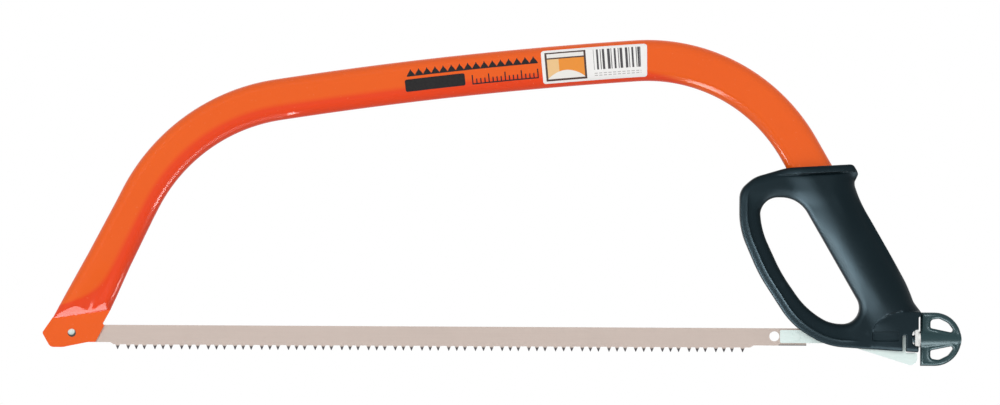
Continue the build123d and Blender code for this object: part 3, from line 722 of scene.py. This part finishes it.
def blade_steel():
    steel = Finish("blade steel", {"Metallic": 0.22})
    grain = steel.mottle(900.0, 4.0, (0.03, 1, 1))
    color = steel.blend((0.565, 0.470, 0.418, 1), (0.615, 0.520, 0.463, 1), grain)
    stain = steel.between(0.52, 0.75, steel.mottle(28.0, 4.0))
    color = steel.blend(color, (0.53, 0.445, 0.395, 1), stain * 0.4)
    height = steel.part(steel.place(), 2)
    hard = steel.between(at(0, -8.6).z, at(0, -9.6).z, height)
    color = steel.blend(color, (0.075, 0.07, 0.075, 1), hard)
    along = steel.part(steel.place(), 0)
    # painted shade: a dark strip on the blade's lower edge below the draw cheek, where it lies
    # in shadow
    painted_shade_below_cheek = (along > at(517.2, 0).x) * (height < at(0, -5.9).z)
    color = steel.blend(color, (0.16, 0.15, 0.15, 1), painted_shade_below_cheek)
    return steel.wear(color, 0.34 + 0.2 * grain, bump=grain, depth=0.00003)


pin_spacing = 530.0
blade_half = 0.45
past_pin = 7.5
back_edge, shank, gullet = 5.9, -6.75, -8.3
tip_gap, group_gap = 5.9, 7.75
front_shank, rear_shank, shank_ramp = 28.0, 31.0, 2.5
first_tip = 33.5
last_tip = pin_spacing - rear_shank - 3.4
tooth_side = [(-1.7, 0.0), (-1.15, 1.2), (-0.16, 3.5)]
tooth_side += [(-x, drop) for x, drop in reversed(tooth_side)]
tooth_reach = tooth_side[2][1]
tooth_set = 0.28

tips = [first_tip]
while tips[-1] + group_gap + 2 * tip_gap <= last_tip:
    start = tips[-1] + group_gap
    tips += [start, start + tip_gap, start + 2 * tip_gap]
tips.append(tips[-1] + group_gap)
blade_line = [(-past_pin, back_edge), (-past_pin, shank)]
blade_line += [(front_shank, shank), (front_shank + shank_ramp, gullet)]
for tip in tips:
    blade_line += [(tip + x, gullet - drop) for x, drop in tooth_side]
toothed_end = pin_spacing - rear_shank
blade_line += [(toothed_end - shank_ramp, gullet), (toothed_end, shank)]
blade_line += [(pin_spacing + past_pin, shank), (pin_spacing + past_pin, back_edge)]
hole_x, hole_radius = pin_spacing - 15.9, 3.65
spare_hole = []
for i in range(36):
    angle = i / 18 * math.pi
    x = hole_x + hole_radius * math.cos(angle)
    spare_hole.append((x, hole_radius * math.sin(angle)))
blade_area = [[Vector(p) for p in line] for line in (blade_line, spare_hole)]
blade = flat_plate("toothed_blade", blade_area, -blade_half, blade_half, 0.0)
for i, tip in enumerate(tips):
    side = (-1, 0, 1)[i % 3]
    for vertex in blade.data.vertices:
        local = (vertex.co.x - at(0, 0).x) * 1000 - tip
        drop = (at(0, gullet).z - vertex.co.z) * 1000
        if abs(local) < 1.75 and drop > 0.5:
            vertex.co.y += side * tooth_set * drop / tooth_reach / 1000
blade.data.materials.append(blade_steel())
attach(blade, "saw_frame")
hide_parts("blade")

# -------------------------------------------------------------------- draw bar
# Two pressed cheeks riveted apart, with the rear blade pin at their front end
# and a crosshead for the tension bolt at the rear. Bare bright sheet.


def pressed_steel():
    sheet = Finish("pressed sheet", {"Metallic": 0.25})
    grain = sheet.mottle(700.0, 3.0, (0.08, 1, 1))
    color = sheet.blend((0.72, 0.84, 0.81, 1), (0.80, 0.92, 0.89, 1), grain)
    rub = sheet.between(0.58, 0.72, sheet.mottle(90.0, 4.0))
    color = sheet.blend(color, (0.52, 0.58, 0.57, 1), rub * 0.35)
    return sheet.wear(color, 0.30 + 0.2 * grain, bump=grain, depth=0.00002)


bright_sheet = pressed_steel()
dress(bright_sheet, "draw_cheek_left", "draw_cheek_right", "cheek_rivets", "crosshead")
dress(bright_sheet, "rear_pin")
dress(plating, "rear_pin_clip")

# ---------------------------------------------------------------- tension bolt
# A hexagon bolt that runs from the crosshead through the heel into the knob.
# Rolled steel with a bluish zinc plate.


def bolt_zinc():
    bolt = Finish("bolt zinc", {"Metallic": 0.35})
    patches = bolt.mottle(500.0, 3.0)
    color = bolt.blend((0.46, 0.62, 0.72, 1), (0.66, 0.80, 0.86, 1), patches)
    return bolt.wear(color, 0.36 + 0.2 * patches, bump=patches, depth=0.00001)


dress(bolt_zinc(), "tension_bolt")

# ---------------------------------------------------------------------- handle
# Two moulded halves of black plastic, screwed together round the tube's tail: a
# D guard with a ridge, a round grip, a collar on top and a flat block below.
tail_x, tail_z = 531.0, 137.955
grip_slope = math.radians(tail_slope)
grip_front, grip_rear = 17.6, 19.4
guard_half = 10.0
ridge_in = 5.4
collar_x, collar_z, collar_rise = 523.0, 123.46, 0.0577
collar_cosine = 0.998
rail_x, rail_z, rail_slope = 524.9, -5.3, math.radians(3.5)
heel = 619.0
heel_top = 19.4


def on_grip(along, across):
    """Side-view point by distance down the tail and behind its axis."""
    x = tail_x + along * math.cos(grip_slope) - across * math.sin(grip_slope)
    z = tail_z + along * math.sin(grip_slope) + across * math.cos(grip_slope)
    return (x, z)


def rail_height(x):
    """Underside of the rail, which falls a little to the rear."""
    return rail_z - (x - rail_x) * math.tan(rail_slope)


handle_line = rounded(
    [
        on_grip(29.9, 28.3),
        on_grip(37.9, 28.3),
        on_grip(42.5, 22.5),
        on_grip(58.0, grip_rear),
        on_grip(125.0, grip_rear),
        on_grip(139.9, 17.3),
        (heel + 1.6, 19.3),
        (heel + 1.6, 15.4),
        (heel, 14.6),
        (heel, 5.6),
        (614.3, 5.6),
        (614.3, -6.5),
        (heel, -6.5),
        (heel, rail_height(heel)),
        (609.9, rail_height(609.9)),
        (609.9, 1.5),
        (607.2, 1.5),
        (607.2, rail_height(607.2)),
        (553.0, rail_height(553.0)),
        (527.5, 7.0),
        (502.5, 45.5),
        (488.3, 78.5),
        (488.3, 107.0),
        (499.0, 116.4),
        (collar_x, collar_z),
    ],
    [4, 3, 9, 90, 80, 14, 0.8]
    + [0.3, 0.3, 0.3, 4, 4, 0.3, 1, 0.4, 0.6, 0.6, 0.4]
    + [50, 60, 120, 60, 13, 22, 40],
)


def before_grip(height):
    """Point on the front line of the grip."""
    fall = tail_z + grip_front * -math.cos(grip_slope) - height
    return on_grip(fall / -math.sin(grip_slope), -grip_front)


finger_top, finger_foot = 101.66, 9.3
finger_line = rounded(
    [
        (503.1, finger_top),
        before_grip(finger_top),
        before_grip(finger_foot),
        (556.0, finger_foot),
        (538.0, 18.5),
        (518.5, 46.5),
        (503.1, 80.0),
    ],
    [13, 22, 12, 30, 60, 120, 60],
)
block_corners = [(582.6, heel_top), (640.0, heel_top), (640.0, -30.0), (582.6, -30.0)]
block_line = rounded(block_corners, [25, 0, 0, 0])
recess_corners = [(585.2, 4.2), (604.4, 4.2), (604.4, -3.0), (585.2, -3.0)]
recess_line = rounded(recess_corners, [1, 1, 1, 1], 0.4)


def ease(low, high, value):
    """Rises smoothly from 0 to 1 while the value goes from low to high."""
    share = np.clip((value - low) / (high - low), 0, 1)
    return share * share * (3 - 2 * share)


def quarter(distance, radius):
    """How far a rounded edge falls below the flat, by distance in from it."""
    gap = radius - np.clip(distance, 0, radius)
    return radius - np.sqrt(np.maximum(radius * radius - gap * gap, 0))


def round_over(distance):
    """The same fall for the grip, whose section is close to an oval."""
    return quarter(distance, 18.5) * 14.0 / 18.5


def melt(first, second, width):
    """The higher of two surfaces, with a soft joint between them."""
    gap = np.maximum(width - np.abs(first - second), 0)
    return np.maximum(first, second) + gap * gap / (4 * width)


def collar_line(x):
    """Height of the collar's straight top edge."""
    return collar_z + (x - collar_x) * collar_rise


def guard_surface(outer, inner):
    """Half of the guard: a bevel, a ridge, and a fall to the opening."""
    guard = guard_half - 0.7 * (1 - np.clip(outer / ridge_in, 0, 1)) ** 1.3
    guard = guard - 0.8 * quarter(outer, 1.2)
    reach = np.maximum(outer + inner - ridge_in, 1.0)
    guard = guard - 1.8 * np.clip((outer - ridge_in) / reach, 0, 1) ** 1.3
    return guard - quarter(inner, 3.5) + 0.7 * np.exp(-(((outer - ridge_in) / 0.5) ** 2))


def bar_surface(x, z, outer, inner):
    """Half of the whole D: the guard, the top bar and the foot behind it."""
    guard = guard_surface(outer, inner)
    top_bar = guard_half - quarter(outer, 6.0) * 0.6 - quarter(inner, 8.0) * 0.75
    foot = guard_half - quarter(outer, 1.5) - quarter(inner, 5.0)
    high = ease(94.0, 108.0, z)
    base = guard + (top_bar - guard) * high
    return base + (foot - base) * ease(562.0, 578.0, x) * (1 - high)


def grip_surface(x, z, base, rear):
    """Half of the round grip, which grows out of the bars at both its ends."""
    dx, dz = x - tail_x, z - tail_z
    along = dx * math.cos(grip_slope) + dz * math.sin(grip_slope)
    front = dz * math.cos(grip_slope) - dx * math.sin(grip_slope) + grip_front
    tall = 13.8 + 2.2 * ease(36.0, 68.0, along) - 4.2 * ease(126.0, 156.0, along)
    grip = tall - round_over(np.minimum(rear, front)) - 3.0 * np.maximum(-front, 0)
    swell = base + (tall - guard_half) * ease(-3.0, 17.0, front)
    swell = np.minimum(swell, tall - round_over(rear))
    middle = ease(40.0, 76.0, along) * (1 - ease(96.0, 126.0, along))
    return swell + (melt(base, grip, 2.0) - swell) * middle


def add_collar(surface, x, z, outer):
    """The collar's lip, with a groove under it that runs out at the front."""
    drop = (collar_line(x) - z) * collar_cosine
    lip_height = guard_half + 5.6 * ease(508.0, 534.0, x) - quarter(outer, 2.6)
    lip_share = (1 - ease(4.7, 5.3, drop)) * ease(506.0, 546.0, x)
    surface = surface + (lip_height - surface) * lip_share
    groove = np.exp(-(((drop - 5.75) / 0.7) ** 2))
    return surface - 1.7 * groove * ease(512.0, 544.0, x) * (1 - ease(556.0, 569.0, x))


def depth_inside(spots, loop):
    """Distance in from an outline, and 0 outside it."""
    return np.where(within(spots, [loop]), edge_distance(spots, loop), 0.0)


def handle_half(spots):
    """Half thickness of the handle over its side view."""
    x, z = spots[:, 0], spots[:, 1]
    outer = edge_distance(spots, outer_array)
    inner = edge_distance(spots, finger_array)
    base = bar_surface(x, z, outer, inner)
    surface = grip_surface(x, z, base, edge_distance(spots, rear_array))
    surface = add_collar(surface, x, z, outer)
    # the flat block at the heel and the shallow panel in it
    above_rail = z - rail_height(x)
    block = 12.3 - 2.3 * (1 - ease(583.0, 606.0, x)) * (1 - ease(2.0, 12.0, z))
    block = block - quarter(outer, 0.8) - 1.6 * (1 - np.clip(above_rail / 3.0, 0, 1)) ** 1.5
    spread = 0.8 + 2.0 * (1 - ease(-2.0, 7.0, z))
    block_share = ease(0.0, 1.0, depth_inside(spots, block_array) / spread)
    surface = surface + (block - surface) * block_share
    return surface - 0.9 * ease(0.0, 0.4, depth_inside(spots, recess_array))


def sideways(line):
    """Unit vectors square to a closed outline, at each of its points."""
    side = np.roll(line, -1, axis=0) - np.roll(line, 1, axis=0)
    normal = np.stack([-side[:, 1], side[:, 0]], axis=1)
    return normal / np.maximum(np.hypot(normal[:, 0], normal[:, 1]), 1e-9)[:, None]


def inset_rows(loops, distances, step):
    """Spots in rows at set distances inside the outlines."""
    rows = []
    for loop in loops:
        dense = to_arrays([even_loop([Vector(p) for p in loop], step)])[0]
        for distance in distances:
            for way in (-1, 1):
                spots = dense + sideways(dense) * way * distance
                good = within(spots, loops)
                for other in loops:
                    good &= edge_distance(spots, other) > distance * 0.97
                rows.append(spots[good])
    return np.vstack(rows)


def grid_spots(loops, gap, clear):
    """An even grid of spots over the area, clear of its edges."""
    low = np.min([loop.min(axis=0) for loop in loops], axis=0)
    high = np.max([loop.max(axis=0) for loop in loops], axis=0)
    xs, zs = np.meshgrid(np.arange(low[0], high[0], gap), np.arange(low[1], high[1], gap))
    xs[::2] += gap / 2
    spots = np.stack([xs.ravel(), zs.ravel()], axis=1)
    good = within(spots, loops)
    for loop in loops:
        good[good] = edge_distance(spots[good], loop) > clear
    return spots[good]


def side_skin(loops, lines, distances, half, foot, gap):
    """Outlines, spots, triangles, half thicknesses and wall ends of a moulding."""
    extra = [line[within(line, loops)] for line in lines]
    rows = inset_rows(loops, distances, 1.1)
    clear = max(distances) + gap * 0.6
    spots = np.vstack([*loops, rows, *extra, grid_spots(loops, gap, clear)])
    made, corners = triangles(spots, loops)
    return loops, made, corners, half(made), foot(np.vstack(loops))


def moulding(name, skin, sides):
    """Moulded piece whose half thickness varies over its side view."""
    loops, made, corners, thickness, ends = skin
    edge_spots = np.vstack(loops)
    points = []
    faces = []
    for side in sides:
        start = len(points)
        points += [at(x, z, side * y) for (x, z), y in zip(made, thickness)]
        faces += [tuple(start + i for i in c) for c in corners]
        rim = len(points)
        points += [at(x, z, side * y) for (x, z), y in zip(edge_spots, ends)]
        passed = 0
        for loop in loops:
            for i in range(len(loop)):
                a, b = passed + i, passed + (i + 1) % len(loop)
                faces.append((start + a, start + b, rim + b, rim + a))
            passed += len(loop)
    return new_piece(name, points, faces, 42)


outer_array = to_arrays([even_loop(handle_line, 1.2)])[0]
finger_array = to_arrays([even_loop(finger_line, 1.2)])[0]
behind_grip = [p for p in handle_line if p[0] > 560.0 and 17.0 < p[1] < 114.0]
rear_array = to_arrays([behind_grip + behind_grip[::-1]])[0]
block_array = to_arrays([even_loop(block_line, 1.0)])[0]
recess_array = to_arrays([even_loop(recess_line, 0.8)])[0]


def handle_foot(spots):
    """Where each half's wall ends: at the joint, or at the draw bar's channel."""
    x, z = spots[:, 0], spots[:, 1]
    ends = np.full(len(spots), 0.08)
    in_channel = (z < 5.2) & (x > 500)
    on_finger = edge_distance(spots, finger_array) < 0.05
    ends[in_channel & ~on_finger] = 2.5
    ends[in_channel & ~on_finger & (x > 545)] = 7.1
    return ends


def handle_plastic():
    fixed = {"Specular IOR Level": 0.11, "Specular Tint": (0.60, 0.85, 1.0, 1)}
    plastic = Finish("handle plastic", fixed)
    cloud = plastic.mottle(22.0, 3.0)
    color = plastic.blend((0.0032, 0.0072, 0.0092, 1), (0.0052, 0.0110, 0.0138, 1), cloud)
    scuff = plastic.between(0.66, 0.80, plastic.mottle(140.0, 5.0))
    color = plastic.blend(color, (0.018, 0.028, 0.034, 1), scuff * 0.3)
    spark = plastic.mottle(1100.0, 2.0)
    roughness = 0.42 + 0.10 * plastic.mottle(60.0, 3.0) + 0.05 * scuff
    return plastic.wear(color, roughness, bump=spark, depth=0.000005)


row_distances = [0.12, 0.4, 0.85, 1.5, 2.3, 3.2, 4.2, 4.9, 5.25, 5.55, 5.95, 6.6]


def beside(line, step):
    """Outline moved in by a step, as spots to keep a sharp fold there."""
    normal = sideways(line)
    inward = np.sign(((line.mean(axis=0) - line) * normal).sum(axis=1))[:, None]
    return line + normal * inward * step


fold_lines = [beside(block_array, step) for step in (0.0, 0.3, 0.6)]
fold_lines += [beside(recess_array, step) for step in (0.0, 0.2, 0.4)]
collar_xs = np.arange(508.0, 571.0, 0.8)
for drop in (4.2, 4.7, 5.0, 5.3, 5.75, 6.2, 6.6, 7.1):
    fold_zs = collar_line(collar_xs) - drop / collar_cosine
    fold_lines.append(np.stack([collar_xs, fold_zs], axis=1))
handle_skin = side_skin(
    [outer_array, finger_array], fold_lines, row_distances, handle_half, handle_foot, 1.6
)
shell_plastic = handle_plastic()
handle_halves = []
for name, side, node in (
    ("handle_left", -1, "handle_shell_left"),
    ("handle_right", 1, "handle_shell_right"),
):
    shell = moulding(name, handle_skin, (side,))
    shell.data.materials.append(shell_plastic)
    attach(shell, "saw_frame")
    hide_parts(node)
    handle_halves.append(shell)

# --------------------------------------------------------- screws and tube pin
# Six pan-head screws that draw the halves together from the right side, and a
# cross pin through the tube's tail. Steel with the same zinc plate.
dress(plating, "handle_screws", "tube_pin")

# ---------------------------------------------------------------- thrust plate
# A stamped plate let into the heel between the halves, which takes the knob's
# push. Bright steel, polished by the washer that turns against it.


def polished_steel():
    bright = Finish("polished steel", {"Metallic": 1.0})
    grain = bright.mottle(800.0, 3.0, (1, 1, 0.1))
    color = bright.blend((0.86, 0.86, 0.84, 1), (0.93, 0.93, 0.91, 1), grain)
    return bright.wear(color, 0.20 + 0.08 * grain, bump=grain, depth=0.000005)


bright_steel = polished_steel()
dress(bright_steel, "thrust_plate")

# ------------------------------------------------------------------- wing knob
# A D-shaped knob with a window in each wing and a tapered barrel between them,
# moulded in one piece of green-black plastic.


def knob_plastic():
    fixed = {"Specular IOR Level": 0.25, "Specular Tint": (0.80, 0.95, 1.0, 1)}
    plastic = Finish("knob plastic", fixed)
    cloud = plastic.mottle(60.0, 3.0)
    color = plastic.blend((0.013, 0.034, 0.038, 1), (0.022, 0.050, 0.054, 1), cloud)
    scuff = plastic.between(0.62, 0.78, plastic.mottle(260.0, 4.0))
    color = plastic.blend(color, (0.05, 0.08, 0.085, 1), scuff * 0.4)
    roughness = 0.32 + 0.15 * plastic.mottle(120.0, 3.0)
    return plastic.wear(color, roughness, bump=plastic.mottle(1600.0, 2.0), depth=0.00004)


knob_face = 621.0
knob_axis = -1.5
knob_centre = 631.3
knob_radius = 19.5


def knob_outline(inset, foot):
    """D outline of the wings; inset from the rim and foot from the face."""
    radius = knob_radius - inset
    low_side, high_side = knob_axis - radius, knob_axis + radius
    line = [Vector((knob_face + foot, low_side)), Vector((knob_centre, low_side))]
    for i in range(1, 40):
        angle = math.radians(-90 + 180 * i / 40)
        x = knob_centre + radius * math.cos(angle)
        line.append(Vector((x, knob_axis + radius * math.sin(angle))))
    line += [Vector((knob_centre, high_side)), Vector((knob_face + foot, high_side))]
    return line



def wing_window(side):
    """Leaf-shaped opening in one wing, lower toward the knob's rear."""
    corners = [(7.2, 8.2), (7.2, 14.2), (13.6, 15.2), (20.4, 11.8), (24.0, 7.0), (22.8, 5.0)]
    line = [(knob_face + x, knob_axis + side * off) for x, off in corners]
    return rounded(line, [1.3, 2.6, 6, 6, 1.4, 1.2], 0.6)


windows = [even_loop(wing_window(side), 0.8) for side in (1, -1)]
knob_loops = to_arrays([even_loop(knob_outline(0, 0), 0.9), *windows])


def knob_half(spots):
    """Half thickness of the knob over its side view."""
    x = spots[:, 0] - knob_face
    off = spots[:, 1] - knob_axis
    outer = edge_distance(spots, knob_loops[0])
    hole = np.minimum(edge_distance(spots, knob_loops[1]), edge_distance(spots, knob_loops[2]))
    wing = 3.9 - quarter(outer, 1.6) - quarter(hole, 0.8)
    bead = np.exp(-(((hole - 1.5) / 0.75) ** 2)) + np.exp(-(((outer - 1.6) / 0.8) ** 2))
    wing = wing + 0.6 * np.minimum(bead, 1.0)
    barrel_radius = 7.0 - 1.9 * np.clip(x / 29.0, 0, 1)
    barrel = np.sqrt(np.maximum(barrel_radius**2 - off * off, 0))
    return melt(wing, barrel, 0.8)


knob_skin = side_skin(
    knob_loops,
    [],
    [0.12, 0.35, 0.7, 1.1, 1.6, 2.2],
    knob_half,
    lambda spots: np.zeros(len(spots)),
    0.7,
)
knob = moulding("wing_knob_moulding", knob_skin, (-1, 1))
knob.data.materials.append(knob_plastic())
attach(knob, "knob")
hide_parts("wing_knob")

# --------------------------------------------------------- knob nut and washer
# A steel nut held in the knob's barrel and a washer between the knob and the
# thrust plate. Both are bright steel; the nut runs on the bolt's thread.
dress(bright_steel, "knob_nut", "thrust_washer")

# ----------------------------------------------------------------------- table
# A wide, pale, matt table top below the saw. It takes the soft shadows and has
# a little glow of its own, so that it fades into the room behind it.
table_height = -0.17
table_corners = [(-3, -3), (3, -3), (3, 0.9), (-3, 0.9)]
floor_points = [(x, y, table_height) for x, y in table_corners]
floor_mesh = bpy.data.meshes.new("table")
floor_mesh.from_pydata(floor_points, [], [(0, 1, 2, 3)])
floor = bpy.data.objects.new("table", floor_mesh)
bpy.context.scene.collection.objects.link(floor)


def table_top():
    table = Finish("pale table", {"Specular IOR Level": 0.1})
    grain = table.mottle(30.0, 4.0)
    color = table.blend((0.80, 0.80, 0.80, 1), (0.84, 0.84, 0.83, 1), grain)
    table.wear(color, 0.85 + 0.1 * grain)
    seen = table.node("ShaderNodeLightPath", {}, {}, "Is Camera Ray")
    glow = table.node("ShaderNodeEmission", {}, {"Color": (1, 1, 1, 1), "Strength": 1.0})
    shaders = {0: seen * 0.8, 1: table.surface, 2: glow}
    table.show(table.node("ShaderNodeMixShader", {}, shaders))
    return table.material


floor_mesh.materials.append(table_top())

# ------------------------------------------------------------------------ room
# An even pale room all round. It is white where it is seen or mirrored and
# dimmer as a source of light, so that the lamps do most of the lighting.
world = bpy.data.worlds.new("studio")
bpy.context.scene.world = world
world.use_nodes = True
room = Nodes(world.node_tree)
seen, mirrored, passed = (
    room.node("ShaderNodeLightPath", {}, {}, kind)
    for kind in ("Is Camera Ray", "Is Glossy Ray", "Is Transmission Ray")
)
tone = room.blend((0.30, 0.30, 0.31, 1), (1, 1, 1, 1), seen + mirrored + passed)
room.feed(world.node_tree.nodes["Background"].inputs["Color"], tone)

# ----------------------------------------------------------------------- lamps
# Four large soft lamps some metres off: a key beside the camera, a fill above
# it, a weak one from the handle's end and one behind. None of them is mirrored.
saw_middle = (cad_low + cad_high) / 2


def lamp(name, middle, facing, width, height, radiance):
    """Rectangular lamp of even radiance, turned to face a way."""
    light = bpy.data.lights.new(name, "AREA")
    light.shape = "RECTANGLE"
    light.size = width
    light.size_y = height
    light.energy = radiance * math.pi * width * height
    holder = bpy.data.objects.new(name, light)
    holder.location = middle
    holder.rotation_mode = "QUATERNION"
    holder.rotation_quaternion = Vector(facing).to_track_quat("-Z", "Y")
    holder.visible_camera = False
    bpy.context.scene.collection.objects.link(holder)
    return holder


# the level is the light on a face turned to the lamp, where 1 is a plain white
for name, way, away, width, height, level in (
    ("key", (-0.42, -0.86, 0.18), 9.0, 4.0, 4.0, 0.39),
    ("front", (-0.20, -0.80, 0.50), 8.0, 4.4, 2.8, 0.22),
    ("right", (0.80, -0.50, 0.30), 8.0, 4.0, 3.0, 0.14),
    ("back", (0.35, 0.75, 0.55), 8.0, 4.0, 3.0, 0.70),
):
    way = Vector(way).normalized()
    radiance = level * math.pi * away**2 / (width * height)
    soft = lamp(name, saw_middle + way * away, -way, width, height, radiance)
    soft.visible_glossy = False

# ------------------------------------------------------------ reflecting cards
# Eight small bright cards near the saw, which only show mirrored: five in the
# enamel, as streaks along the tube and nose, and three in the black mouldings.
painted = bpy.data.collections.new("painted")
for piece in (frame_tube, *nose_plies):
    painted.objects.link(piece)
mouldings = bpy.data.collections.new("mouldings")
for piece in (*handle_halves, knob):
    mouldings.objects.link(piece)
for name, middle, facing, width, height, radiance, lit in (
    ("nose card", (-0.65, -0.13, -0.166), (0, 0, 1), 0.26, 0.30, 10.0, painted),
    ("arm card", (-0.40, -0.06, -0.0145), (-1, 0, 0), 0.08, 0.037, 32.0, painted),
    ("fold card", (-0.40, -0.005, -0.105), (-1, 0, 0), 0.05, 0.03, 12.0, painted),
    ("bend card", (-0.19, -0.22, -0.12), (1, 0, 0), 0.30, 0.09, 17.0, painted),
    ("tail card", (-0.19, -0.05, -0.006), (1, 0, 0), 0.05, 0.024, 18.0, painted),
    ("grip card", (-0.29, -0.19, -0.166), (0, 0, 1), 0.26, 0.34, 56.0, mouldings),
    ("side card", (-1.30, -1.60, 0.26), (0.62, 0.78, -0.05), 1.6, 0.82, 4.5, mouldings),
    ("knob card", (0.05, -0.08, -0.166), (0, 0, 1), 0.16, 0.09, 20.0, mouldings),
):
    card = lamp(name, middle, facing, width, height, radiance)
    card.visible_diffuse = False
    card.light_linking.receiver_collection = lit

# ---------------------------------------------------------------------- camera
# A long lens some metres off, square to the saw's left side and rolled by a
# third of a degree, aimed at the middle of the bow.
view_width = 0.732
focal_length = 200.0
sensor_width = 36.0
roll = math.radians(0.3)
bpy.context.scene.view_settings.view_transform = "Standard"
lens = bpy.data.cameras.new("camera")
lens.lens = focal_length
lens.sensor_width = sensor_width
lens.clip_start = 0.1
lens.clip_end = 50
camera = bpy.data.objects.new("camera", lens)
bpy.context.scene.collection.objects.link(camera)
bpy.context.scene.camera = camera
camera.location = at(312.8, 96.9) + Vector((0, -view_width / sensor_width * focal_length, 0))
camera.rotation_mode = "QUATERNION"
square_on = Vector((0, 1, 0)).to_track_quat("-Z", "Y")
camera.rotation_quaternion = square_on @ Matrix.Rotation(roll, 3, "Z").to_quaternion()
